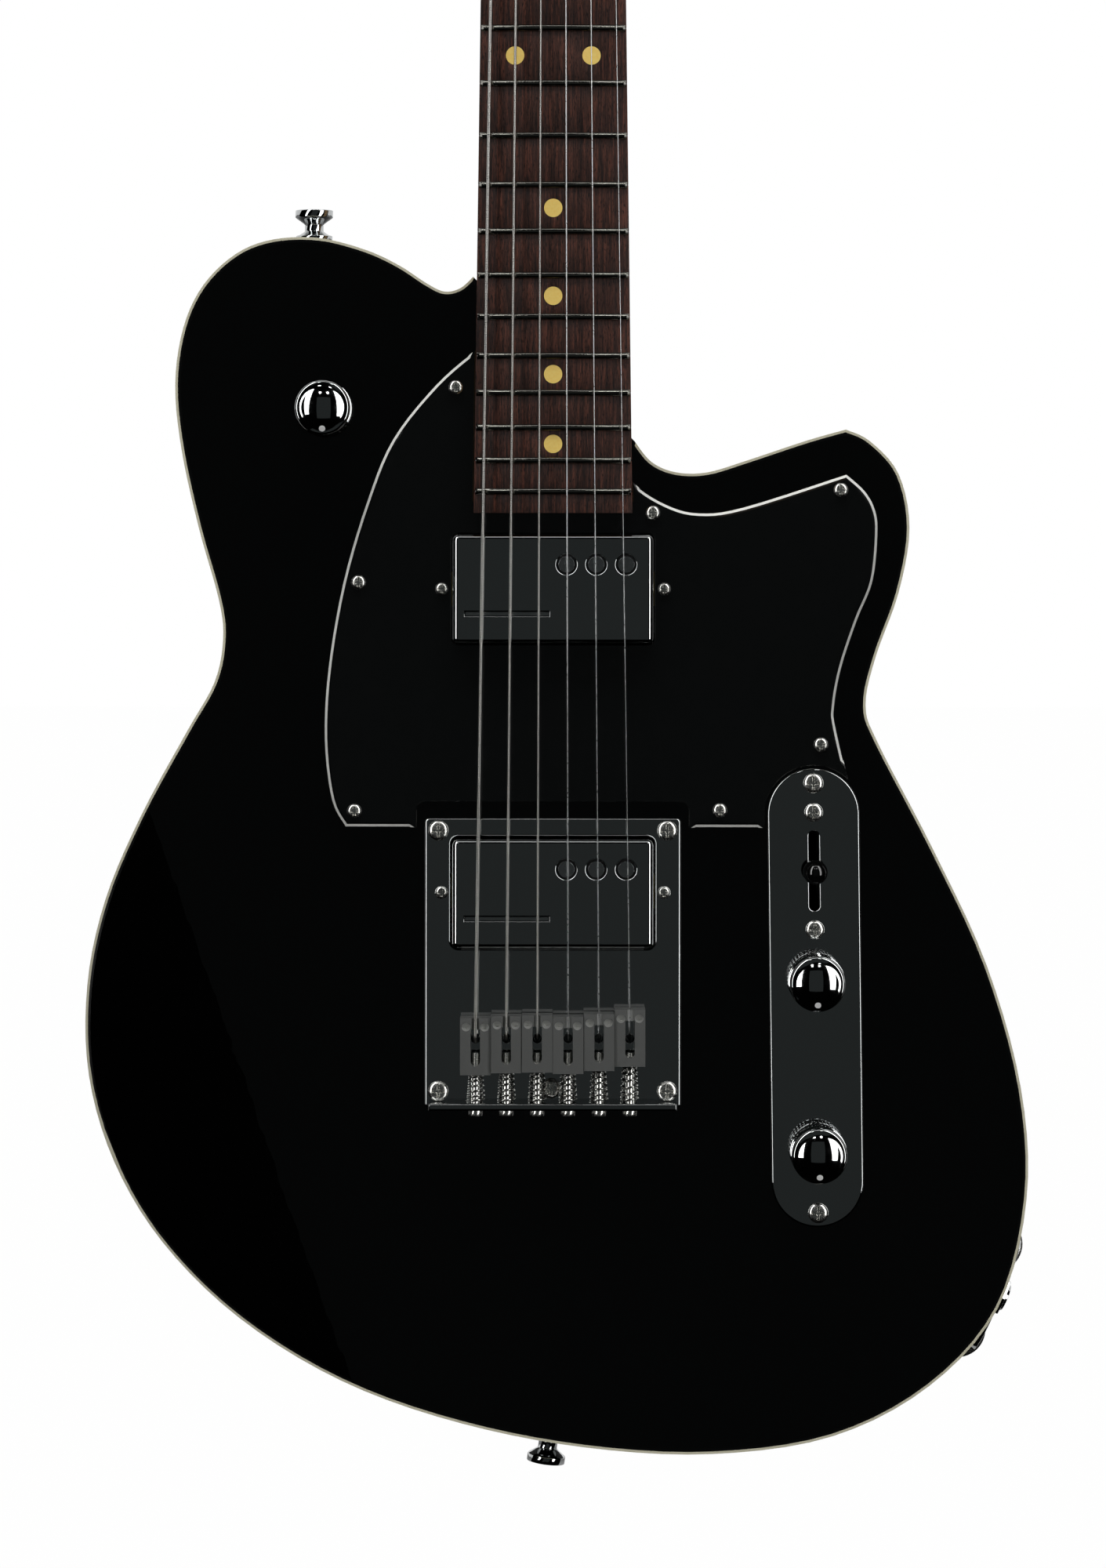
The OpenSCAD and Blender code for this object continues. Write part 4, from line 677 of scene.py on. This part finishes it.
rim = [e for e in binding_mesh.edges if is_sharp(e) and faces_front(e) and on_outside(e)]
outer = {v for e in rim for v in e.verts}
for vertex in binding_mesh.verts:
    vertex[bare_share] = 0 if faces_front(vertex) and vertex not in outer else 1
worked("binding", binding_mesh, rim, [binding_plastic], BINDING_RIM_MM, 4)
print("rebuilt body and binding")

# %% [markdown]
# ## Flat parts
# The outlines of a flat face are read off the CAD node in order, the outer one first. Each outline
# climbs from the foot of the part to its face through a profile of (inset, depth) pairs. A bevelled
# edge has two pairs, a rounded one has several, and the face between all the outlines is filled at
# the end.

# %% Outlines and rims


def outlines(node, y):
    """Closed outlines of the node's flat face at height y. The material is on the left of each."""
    mesh = welded(node)
    flat = {f for f in mesh.faces if abs(f.normal.y) > 0.999
            and all(abs(v.co.y - y) < 0.02 * MM for v in f.verts)}
    near = {}
    for edge in mesh.edges:
        if sum(f in flat for f in edge.link_faces) == 1:
            for a, b in (edge.verts, reversed(edge.verts)):
                near.setdefault(a, []).append(b)
    found = []
    while near:
        start = next(iter(near))
        line, here = [start], near.pop(start)[0]
        while here in near:
            line.append(here)
            ahead = [v for v in near.pop(here) if v in near]
            here = ahead[0] if ahead else start
        spots = [Vector((v.co.x, v.co.z)) for v in line]
        area = sum(a.x * b.y - b.x * a.y for a, b in zip(spots, spots[1:] + spots[:1])) / 2
        found.append((area, spots))
    mesh.free()
    found.sort(key=lambda item: -abs(item[0]))
    return [spots if (area > 0) == (k == 0) else spots[::-1]
            for k, (area, spots) in enumerate(found)]


def inset(spots, distance):
    """Spots of an outline moved to the left of its run by distance(spot)."""
    moved = []
    for before, here, after in zip(spots[-1:] + spots, spots, spots[1:] + spots[:1]):
        first, second = (here - before).normalized(), (after - here).normalized()
        sides = Vector((-first.y, first.x)), Vector((-second.y, second.x))
        share = 1 + max(sides[0].dot(sides[1]), -0.5)
        moved.append(here + (sides[0] + sides[1]) / share * distance(here))
    return moved


def rounded_rim(r, steps=5):
    """Profile of a rounded edge of radius r in mm."""
    turns = [math.radians(90) * k / steps for k in range(steps + 1)]
    return [(r * (1 - math.cos(t)), r * (1 - math.sin(t))) for t in turns]


def rims_for(lines, first, hole):
    """A profile for each outline: those in first, and the hole's for the rest."""
    return first + [hole] * (len(lines) - len(first))


print("a quarter round:", rounded_rim(1, 2))

# %% Plates between outlines


def skin(mesh, rings):
    """Joins closed rings of vertices with faces, each ring to the next."""
    for low, high in zip(rings, rings[1:]):
        for k in range(len(low)):
            n = (k + 1) % len(low)
            mesh.faces.new((low[k], low[n], high[n], high[k]))


def flat_part(name, node, lines, foot, top, rims, finish=black_nickel,
              full=lambda spot: 1):
    """A plate between heights foot and top. rims gives each outline's profile, in mm."""
    mesh = bmesh.new()
    top_edges = []
    for spots, rim_profile in zip(lines, rims):
        rings = []
        for step, (inward, depth) in enumerate([(0, (foot - top) / MM)] + rim_profile):
            moved = inset(spots, lambda spot: inward * MM * full(spot))
            depths = [depth * (full(spot) if step else 1) for spot in spots]
            rings.append([mesh.verts.new((m.x, top + d * MM, m.y)) for m, d in zip(moved, depths)])
        skin(mesh, rings)
        last = rings[-1]
        top_edges += [mesh.edges.get(pair) for pair in zip(last, last[1:] + last[:1])]
    bmesh.ops.triangle_fill(mesh, use_beauty=True, edges=top_edges, normal=(0, -1, 0))
    bmesh.ops.recalc_face_normals(mesh, faces=mesh.faces[:])
    if max(mesh.faces, key=lambda f: f.calc_area()).normal.y > 0:
        bmesh.ops.reverse_faces(mesh, faces=mesh.faces[:])
    weigh_normals(new_piece(name, mesh, [finish], nodes[node]["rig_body"], node))


# Beside each neighbour, so many mm aside and above, the pickguard's edge is nearly plain.
PLAIN_SHARE = 0.12
neighbours = [(*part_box(node), aside_mm * MM, above_mm * MM) for node, aside_mm, above_mm in
              (("bridge_plate", 3.6, 6.5), ("control_plate", 1, 1), ("fingerboard", 0.7, 0.7))]


def worked_share(spot):
    """How much of its bevel the pickguard keeps at a spot."""
    for low, high, aside, above in neighbours:
        if low.x - aside < spot.x < high.x + aside and low.z - above < spot.y < high.z + above:
            return PLAIN_SHARE
    return 1


def finer(spots, step_mm):
    """The same outline with its long runs split, so that a rim can change along them."""
    split = []
    for here, after in zip(spots, spots[1:] + spots[:1]):
        parts = max(1, round((after - here).length / (step_mm * MM)))
        split += [here.lerp(after, k / parts) for k in range(parts)]
    return split


GUARD_BEVEL_MM, GUARD_HOLE_MM, GUARD_STEP_MM = 1.7, 0.15, 2.5
guard_lines = [finer(spots, GUARD_STEP_MM) for spots in outlines("pickguard", GUARD_TOP)]
guard_bevel = [(0, GUARD_BEVEL_MM), (GUARD_BEVEL_MM, 0)]
guard_rims = rims_for(guard_lines, [guard_bevel], rounded_rim(GUARD_HOLE_MM, 2))
flat_part("pickguard_sheet", "pickguard", guard_lines, GUARD_FOOT, GUARD_TOP, guard_rims,
          guard_plastic, worked_share)
print("pickguard outlines:", len(guard_lines))

# %% [markdown]
# ## Plates and covers
# The bridge plate is folded from sheet, with a lip at its rear edge. The pickup covers are drawn
# from sheet too, so their top edge is rounded by more than the metal is thick.

# %% Plates and covers
PLATE_MM, PLATE_RIM_MM, PLATE_HOLE_MM = 2, 0.9, 0.3
LIP_MM, LIP_IN_MM, LIP_RIM_MM = 2.5, 1.5, 0.8
CONTROL_RIM_MM, CONTROL_HOLE_MM = 0.7, 0.5
COVER_RIM_MM, COVER_HOLE_MM = 1.9, 0.5

plate_low, plate_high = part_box("bridge_plate")
plate_lines = outlines("bridge_plate", plate_high.y)
plate_rims = rims_for(plate_lines, [rounded_rim(PLATE_RIM_MM)] * 2, rounded_rim(PLATE_HOLE_MM, 2))
flat_part("bridge_plate_sheet", "bridge_plate", plate_lines, plate_high.y,
          plate_high.y - PLATE_MM * MM, plate_rims)

left, right = plate_low.x + LIP_IN_MM * MM, plate_high.x - LIP_IN_MM * MM
lip_top = plate_low.z + LIP_MM * MM
lip = [Vector(spot) for spot in ((left, plate_low.z), (right, plate_low.z),
                                 (right, lip_top), (left, lip_top))]
flat_part("bridge_plate_lip", "bridge_plate", [lip], plate_high.y - MM, plate_low.y,
          [rounded_rim(LIP_RIM_MM)])

control_low, control_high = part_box("control_plate")
control_lines = outlines("control_plate", control_high.y)
control_rims = rims_for(control_lines, [rounded_rim(CONTROL_RIM_MM)],
                        rounded_rim(CONTROL_HOLE_MM, 4))
flat_part("control_plate_sheet", "control_plate", control_lines, control_high.y, control_low.y,
          control_rims)

for which in PICKUPS:
    cover = which + "_cover"
    cover_low, cover_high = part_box(cover)
    cover_lines = outlines(cover, cover_low.y)
    cover_rims = rims_for(cover_lines, [rounded_rim(COVER_RIM_MM, 8)], rounded_rim(COVER_HOLE_MM, 4))
    flat_part(cover + "_shell", cover, cover_lines, cover_high.y, cover_low.y, cover_rims)
print("outlines:", len(plate_lines), len(control_lines), len(cover_lines))

# %% [markdown]
# ## Nodes of more than one material
# A pickup core is a brass base, two plastic bobbins and steel poles, all separate solids in one
# node. A saddle holds two bright grub screws. Each solid is an island of faces, and its size tells
# what it is.

# %% Materials by island
BASE_WIDE_MM, BOBBIN_LONG_MM, GRUB_LONG_MM = 75, 10, 5
POLE_RIM_MM, SADDLE_EDGE_MM = 1, 0.25

for which in PICKUPS:
    core_mesh = welded(which + "_core")
    for group, low, high in islands(core_mesh):
        size = high - low
        kind = 0 if size.x > BASE_WIDE_MM * MM else 1 if size.z > BOBBIN_LONG_MM * MM else 2
        for face in group:
            face.material_index = kind
    pole_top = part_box(which + "_core")[0].y
    pole_rims = [e for e in core_mesh.edges if is_sharp(e) and near_level(e, pole_top)]
    worked(which + "_core", core_mesh, pole_rims, [brass, black_plastic, polished_steel],
           POLE_RIM_MM, 4)

for i in range(1, 7):
    saddle_mesh = welded(f"saddle_{i}")
    for group, low, high in islands(saddle_mesh):
        for face in group:
            face.material_index = int(high.z - low.z < GRUB_LONG_MM * MM)
    saddle = new_piece(f"saddle_{i}_worked", saddle_mesh, [satin_nickel, grub_steel],
                       f"saddle_block_{i}", f"saddle_{i}")
    break_edges(saddle, SADDLE_EDGE_MM)
print("cores and saddles are coloured")

# %% [markdown]
# ## Screw heads
# Up close a pan-head screw is a low, nearly flat cap with a cross punched into it, and the cross is
# what makes it sparkle. CAD has plain domes. A cap is laid over each dome that faces the front:
# rings of vertices make the pan, and those inside the cross are pushed in.

# %% Screw heads
CROSS_HALF_MM, CROSS_REACH, CROSS_DEEP_MM = 0.42, 0.6, 0.75
PAN_MM, OVER_DOME_MM, OVER_SIDE = 1.1, 0.3, 1.04
SELECTOR_HEAD_MM, HEAD_MM = 6.6, 2.8
SHORTEST_MM, HEAD_SHARE, ROUND = 4, 0.85, 1.2
PAN_TURNS = 48
PAN_RINGS = [1, 1, 0.97, 0.91] + [0.83 - 0.08 * k for k in range(10)] + [0.02]


def pan_head(mesh, centre, radius):
    """Adds a cap whose top is at centre."""
    rings = []
    for share in PAN_RINGS:
        ring = []
        for k in range(PAN_TURNS):
            x = radius * share * math.cos(math.tau * k / PAN_TURNS)
            z = radius * share * math.sin(math.tau * k / PAN_TURNS)
            depth = PAN_MM * MM * (1 - (1 - share ** 4) ** 0.6)
            thin, far = sorted((abs(x), abs(z)))
            if thin < CROSS_HALF_MM * MM and far < CROSS_REACH * radius:
                depth += CROSS_DEEP_MM * MM
            if not rings:  # the first ring is the foot of the side
                depth += MM
            ring.append(mesh.verts.new(centre + Vector((x, depth, z))))
        rings.append(ring)
    skin(mesh, rings)
    mesh.faces.new(rings[-1])


def faces_us(group, low, high):
    """True of a screw that points back: its front end is as wide as the whole, and round."""
    head = [v.co for face in group for v in face.verts if v.co.y < low.y + HEAD_MM * MM]
    head_low, head_high = extent(head)
    size = high - low
    return (head_high.x - head_low.x >= size.x * HEAD_SHARE and size.y >= SHORTEST_MM * MM
            and size.z <= size.x * ROUND)


heads = bmesh.new()
for node in ("plate_screws", "machine_screws", "small_screws"):
    screws = welded(node)
    for group, low, high in islands(screws):
        if faces_us(group, low, high):
            centre = (low + high) / 2
            on_selector = node == "machine_screws" and control_low.x < centre.x < control_high.x
            across = SELECTOR_HEAD_MM * MM if on_selector else (high.x - low.x) * OVER_SIDE
            pan_head(heads, Vector((centre.x, low.y - OVER_DOME_MM * MM, centre.z)), across / 2)
    screws.free()
bmesh.ops.recalc_face_normals(heads, faces=heads.faces[:])
print("screw heads:", len(islands(heads)))
new_piece("screw_heads", heads, [bright_nickel], "guitar", None)

# %% [markdown]
# ## Frets
# A fret is a round-topped bar, filed off at a slant at both ends and polished. Each one is drawn
# anew over its CAD solid: a half round carried across the arch of the board, lowered at its two
# ends.

# %% Frets
BOARD_RADIUS = 241 * MM
CROWN_R, CROWN_SINK = 1.2, 0.1
FILED_MM, FILED_SHARE = 0.8, 0.12
EVEN_SHARE = 0.9  # the stations between the filed ends spread over this much of the bar
ACROSS = 12


def fret_bar(mesh, half, top, z):
    """Adds one crowned bar to mesh."""
    stations = [-half, -half + FILED_MM * MM]
    stations += [half * (k / 4 - 1) * EVEN_SHARE for k in range(1, 8)]
    stations += [half - FILED_MM * MM, half]
    rings = []
    for x in stations:
        share = FILED_SHARE if abs(x) == half else 1
        level = top + (CROWN_R - CROWN_SINK) * MM + x * x / (2 * BOARD_RADIUS)
        ring = []
        for k in range(ACROSS + 1):
            turn = math.pi * k / ACROSS
            rise = (CROWN_R * math.sin(turn) - CROWN_SINK) * share
            ring.append(mesh.verts.new((x, level - rise * MM, z + CROWN_R * MM * math.cos(turn))))
        rings.append(ring)
    for left, right in zip(rings, rings[1:]):
        for k in range(ACROSS):
            mesh.faces.new((left[k], left[k + 1], right[k + 1], right[k]))
        mesh.faces.new((left[-1], left[0], right[0], right[-1]))
    mesh.faces.new(rings[0])
    mesh.faces.new(list(reversed(rings[-1])))


fret_mesh = bmesh.new()
for group, low, high in islands(fret_solids):
    fret_bar(fret_mesh, (high.x - low.x) / 2, low.y, (low.z + high.z) / 2)
fret_solids.free()
bmesh.ops.recalc_face_normals(fret_mesh, faces=fret_mesh.faces[:])
new_piece("fret_bars", fret_mesh, [nickel_silver], "guitar", "frets", 40)
print("frets drawn anew")

# %% [markdown]
# ## Wire: strings and springs
# Strings and springs are drawn as curves with a round section and turned into meshes. The strings
# run from their ball ends in the back, over the saddles and the nut, under the bar, and three times
# round the posts. A spring is a helix.

# %% Curves of wire


def wire(name, paths, finish, replaced, body):
    """One mesh of round wires. A path is a list of (point, diameter in mm)."""
    curve = bpy.data.curves.new(name, "CURVE")
    curve.dimensions = "3D"
    curve.bevel_depth = MM / 2
    curve.bevel_resolution = 3
    curve.use_fill_caps = True
    for path in paths:
        line = curve.splines.new("POLY")
        line.points.add(len(path) - 1)
        for spot, (point, diameter) in zip(line.points, path):
            spot.co = (*point, 1)
            spot.radius = diameter
    drawn = bpy.data.objects.new(name + "_curve", curve)
    mesh = bmesh.new()
    mesh.from_mesh(drawn.to_mesh())
    bpy.data.objects.remove(drawn)
    return new_piece(name, mesh, [finish], body, replaced, 60)


CLOSED_UP = -0.175  # how far the turns crowd towards both ends, in pitches


def helix(foot, axis, length, turns, foot_r, end_r, diameter, steps=20):
    """Points of a coil from foot along axis, its ends closed up as on a ground spring."""
    axis = Vector(axis).normalized()
    side = axis.orthogonal().normalized()
    across = axis.cross(side)
    points = []
    for k in range(int(turns * steps) + 1):
        share = k / (turns * steps)
        angle = math.tau * turns * share
        rise = share + CLOSED_UP / turns * math.sin(math.tau * share)
        r = foot_r + (end_r - foot_r) * share
        points.append((Vector(foot) + axis * length * rise
                       + side * r * math.cos(angle) + across * r * math.sin(angle), diameter))
    return points


print("closed up by", -CLOSED_UP, "pitch")

# %% [markdown]
# ## The strings
# A string breaks over its saddle behind the front, clear of the saddle's slide, and sits high
# enough in its groove to clear the raised bridge pickup.

# %% Strings
STRING_MM = (1.17, 0.91, 0.66, 0.43, 0.33, 0.25)
BALL_MM, BALL_LONG_MM, BALL_DEEP_MM = 3.9, 3.2, 4
IN_GROOVE_MM = 0.15
BREAK_MM = 6.7  # behind the saddle's front
BEND_MM = ((2, -1.5), (0.4, 0), (0, 0.8))  # over the saddle: below its crown, past the break
NUT_PITCH, NUT_SLOT_MM, NUT_PAST_MM = 7 * MM, 1, 0.5
BAR_SPREAD, UNDER_BAR_MM = 1.25, 5.05
WRAPS, WRAP_TURNS = 3, 24
WRAP_R_MM, WRAP_DEEP_MM = 2.45, 6.4  # the post's waist, and its depth behind the bar's front
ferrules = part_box("string_ferrules")
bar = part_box("string_bar")
nut_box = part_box("nut")
hole_z = (ferrules[0].z + ferrules[1].z) / 2


def string_path(i):
    """The run of string i, from its ball end to its post."""
    d = STRING_MM[i] * MM
    low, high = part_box(f"saddle_{i + 1}")
    x = (low.x + high.x) / 2
    crown = low.y + IN_GROOVE_MM * MM - d / 2
    break_z = high.z - BREAK_MM * MM
    nut_x = (i - 2.5) * NUT_PITCH
    ball_y = ferrules[0].y + BALL_DEEP_MM * MM
    ball = [(x, ball_y + BALL_LONG_MM * MM, hole_z), (x, ball_y, hole_z)]
    bends = [(x, ball_y - 0.01 * MM, hole_z), (x, plate_high.y - PLATE_MM * MM, hole_z)]
    bends += [(x, crown + below * MM, break_z + past * MM) for below, past in BEND_MM]
    bends += [(nut_x, nut_box[0].y + NUT_SLOT_MM * MM - d / 2, nut_box[1].z + NUT_PAST_MM * MM),
              (nut_x * BAR_SPREAD, bar[0].y + UNDER_BAR_MM * MM + d / 2, (bar[0].z + bar[1].z) / 2)]
    path = [(Vector(spot), BALL_MM) for spot in ball]
    path += [(Vector(spot), STRING_MM[i]) for spot in bends]

    post_low, post_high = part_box(f"tuner_post_{i + 1}")
    post = (post_low + post_high) / 2
    side = 1 if post.x > 0 else -1
    wrap_r = WRAP_R_MM * MM + d / 2
    wrap_y = bar[0].y + WRAP_DEEP_MM * MM
    for k in range(WRAPS * WRAP_TURNS + 1):
        angle = math.pi - math.tau * k / WRAP_TURNS
        spot = (post.x + side * wrap_r * math.cos(angle), wrap_y + d * k / WRAP_TURNS,
                post.z + wrap_r * math.sin(angle))
        path.append((Vector(spot), STRING_MM[i]))
    return path


wire("wound_strings", [string_path(i) for i in (0, 1, 2)], wound_string, "strings", "guitar")
wire("plain_strings", [string_path(i) for i in (3, 4, 5)], plain_steel, "strings", "guitar")
print("strings:", len(STRING_MM))

# %% [markdown]
# ## The springs
# A saddle's spring is a cone between the plate's lip and the saddle. A pickup stands on two springs
# between the body and the ears of its base.

# %% Springs
SCREW_LINE = -14.15 * MM
SADDLE_COIL = {"turns": 6, "foot_r": 3.1 * MM, "end_r": 2.2 * MM, "diameter": 0.75}
SADDLE_GAP_MM = 0.4
for i in range(1, 7):
    low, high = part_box(f"saddle_{i}")
    foot = Vector(((low.x + high.x) / 2, SCREW_LINE, plate_low.z + (LIP_MM + SADDLE_GAP_MM) * MM))
    coil = helix(foot, (0, 0, 1), low.z - foot.z - SADDLE_GAP_MM * MM, **SADDLE_COIL)
    spring = wire(f"saddle_spring_{i}", [coil], spring_steel, "saddle_springs", None)
    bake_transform(spring, "guitar", f"saddle_block_{i}", start=foot, end=(foot.x, foot.y, low.z))

HEIGHT_SCREW_X = 38.9 * MM
BODY_TOP = -6.75 * MM
EAR_MM = 2
PICKUP_COIL = {"turns": 5, "foot_r": 2.4 * MM, "end_r": 2.4 * MM, "diameter": 0.7}
FOOT_GAP_MM, EAR_GAP_MM = 0.6, 0.5
for which in PICKUPS:
    low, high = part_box(which + "_core")
    ear = high.y - EAR_MM * MM
    for side, tag in ((-1, "left"), (1, "right")):
        foot = Vector((side * HEIGHT_SCREW_X, BODY_TOP + FOOT_GAP_MM * MM, (low.z + high.z) / 2))
        coil = helix(foot, (0, 1, 0), ear - foot.y - EAR_GAP_MM * MM, **PICKUP_COIL)
        spring = wire(f"{which}_spring_{tag}", [coil], bright_nickel, "pickup_springs", None)
        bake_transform(spring, "guitar", which, start=foot, end=(foot.x, ear, foot.z))
print("springs:", 6 + 4)

# %% [markdown]
# ## Turned pieces: the knobs
# A knob is turned from brass and plated. It has two bands of knurling, a smooth rim, a low dome,
# and a white enamel dot that shows its setting. A profile of heights and radii is spun about the
# shaft. In the knurled bands every other step is cut a little deeper, and the rows alternate, which
# makes diamonds.

# %% Turning
KNURL_MM = 0.28  # how much deeper every other step is
STEPS = 180


def turned(name, place, profile, finish, replaced, body):
    """Spins a profile of (height, radius, knurl row) in mm about the Z axis of place."""
    mesh = bmesh.new()
    rings = []
    for height, radius, row in profile:
        ring = []
        for k in range(STEPS):
            r = radius - (KNURL_MM if row and (k // 2 + row) % 2 else 0)
            turn = math.tau * k / STEPS
            spot = Vector((r * math.cos(turn), r * math.sin(turn), height)) * MM
            ring.append(mesh.verts.new(place @ spot))
        rings.append(ring)
    skin(mesh, rings)
    mesh.faces.new(list(reversed(rings[0])))
    mesh.faces.new(rings[-1])
    return new_piece(name, mesh, [finish], body, replaced, 50)


print("steps round a knob:", STEPS)

# %% Knobs
KNOB_MM, KNOB_R = 18.5, 9.8
HOLLOW_R, SHAFT_R, SHAFT_TOP = 8, 3.15, 12
SHAFT_HOLE = (3.6, 3.3)  # height and radius where the hollow foot meets the shaft
ROWS, ROW_MM, BAND_MM = 8, 0.55, 6  # rows of a band, their pitch, and the pitch of the bands
GROOVE_MM = 0.9
DOME_R, DOME_MM = 9.1, 3.0
RIM_R, RIM_IN, RIM_STEPS = 1.5, 0.1, 6
DOT_R, DOT_OUT = 1.1, 7.3
dome_ball = (DOME_R ** 2 + DOME_MM ** 2) / (2 * DOME_MM)


def dome_height(r):
    """Height of the knob's domed face at radius r."""
    return KNOB_MM - dome_ball + math.sqrt(dome_ball ** 2 - r ** 2)


profile = [(*SHAFT_HOLE, 0), (SHAFT_HOLE[0], HOLLOW_R, 0), (0, HOLLOW_R, 0),
           (0, KNOB_R - 0.5, 0), (0.5, KNOB_R, 0)]
for foot, narrow in ((0, 0), (BAND_MM, RIM_IN)):
    profile += [(foot + 0.7 + ROW_MM * k, KNOB_R, 1 + k % 2) for k in range(ROWS)]
    profile += [(foot + 4.9, KNOB_R, 0), (foot + 5.3, KNOB_R - GROOVE_MM, 0),
                (foot + 6.1, KNOB_R - GROOVE_MM, 0), (foot + 6.5, KNOB_R - narrow, 0)]
rim_z = dome_height(DOME_R - 0.6) - 1.1
for k in range(RIM_STEPS + 1):
    turn = math.radians(70) * k / RIM_STEPS
    profile.append((rim_z + RIM_R * math.sin(turn), KNOB_R - RIM_IN - RIM_R * (1 - math.cos(turn)), 0))
profile += [(dome_height(r), r, 0) for r in (*range(8, 0, -1), 0.1)]
dot = [(-0.5, DOT_R, 0), (0.1, DOT_R, 0), (0.22, DOT_R - 0.25, 0), (0.25, 0.2, 0)]
to_front = Matrix.Rotation(math.radians(90), 4, "X")
lean = Matrix.Rotation(-math.asin(DOT_OUT / dome_ball), 4, "X")
for which in ("volume", "tone", "contour"):
    node = which + "_knob"
    low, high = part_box(node)
    foot = Vector(((low.x + high.x) / 2, low.y + KNOB_MM * MM, (low.z + high.z) / 2))
    place = Matrix.Translation(foot) @ to_front
    turned(node + "_cap", place, profile, black_nickel, node, which)
    shaft = [(-(high.y - foot.y) / MM, SHAFT_R, 0), (SHAFT_TOP, SHAFT_R, 0)]
    turned(node + "_shaft", place, shaft, bright_nickel, node, which)
    seat = place @ Matrix.Translation(Vector((0, -DOT_OUT, dome_height(DOT_OUT))) * MM)
    turned(node + "_dot", seat @ lean.inverted(), dot, white_enamel, node, which)
print("knobs: 3")

# %% [markdown]
# ## Where the points fall
# Each named point of the photograph is compared with the same feature of the finished meshes. A
# small feature is found within a few pixels of its point, and its middle counts.

# %% Points
graph = bpy.context.evaluated_depsgraph_get()
HORN_SIDE = 0.38  # the left horn is left of this share of the frame's width
FRET_REACH = 12
smalls = {"neck_pickup_pole": ("neck_pickup_core_worked", 13),
          "bridge_pickup_pole": ("bridge_pickup_core_worked", 13),
          "neck_pickup_left_screw": ("machine_screws", 12),
          "bridge_pickup_right_screw": ("machine_screws", 12),
          "selector_tip": ("switch_lever", 16), "selector_lower_screw": ("machine_screws", 12),
          "bridge_rear_screw": ("plate_screws", 14)}


def on_view(*names):
    """Where the finished vertices of the named objects fall on the photograph."""
    spots = []
    for name in names:
        shown = bpy.data.objects[name].evaluated_get(graph)
        data = shown.to_mesh()
        spots += [on_photo(shown.matrix_world @ v.co) for v in data.vertices]
        shown.to_mesh_clear()
    return spots


def small_middle(name, point, reach):
    """Middle of what shows within reach pixels of a point."""
    near = [s for s in on_view(name) if abs(s[0] - point[0]) < reach and abs(s[1] - point[1]) < reach]
    return [(min(s[k] for s in near) + max(s[k] for s in near)) / 2 for k in (0, 1)]


outline = on_view("body_worked", "binding_worked")
frets = on_view("fret_bars")
found = {
    "body_left": (min(s[0] for s in outline), None),
    "body_right": (max(s[0] for s in outline), None),
    "body_bottom": (None, max(s[1] for s in outline)),
    "left_horn_top": (None, min(s[1] for s in outline if s[0] < FRAME_W * HORN_SIDE)),
}
for name in ("fret_12", "fret_22"):
    near = [s[1] for s in frets if abs(s[1] - image_points[name][1]) < FRET_REACH]
    found[name] = (None, (min(near) + max(near)) / 2)
for name, (piece, reach) in smalls.items():
    found[name] = small_middle(piece, image_points[name], reach)
for name, (x, y) in found.items():
    wanted = image_points[name]
    off = [None if want is None else round(got - want, 2) for got, want in zip((x, y), wanted)]
    print(name, off)
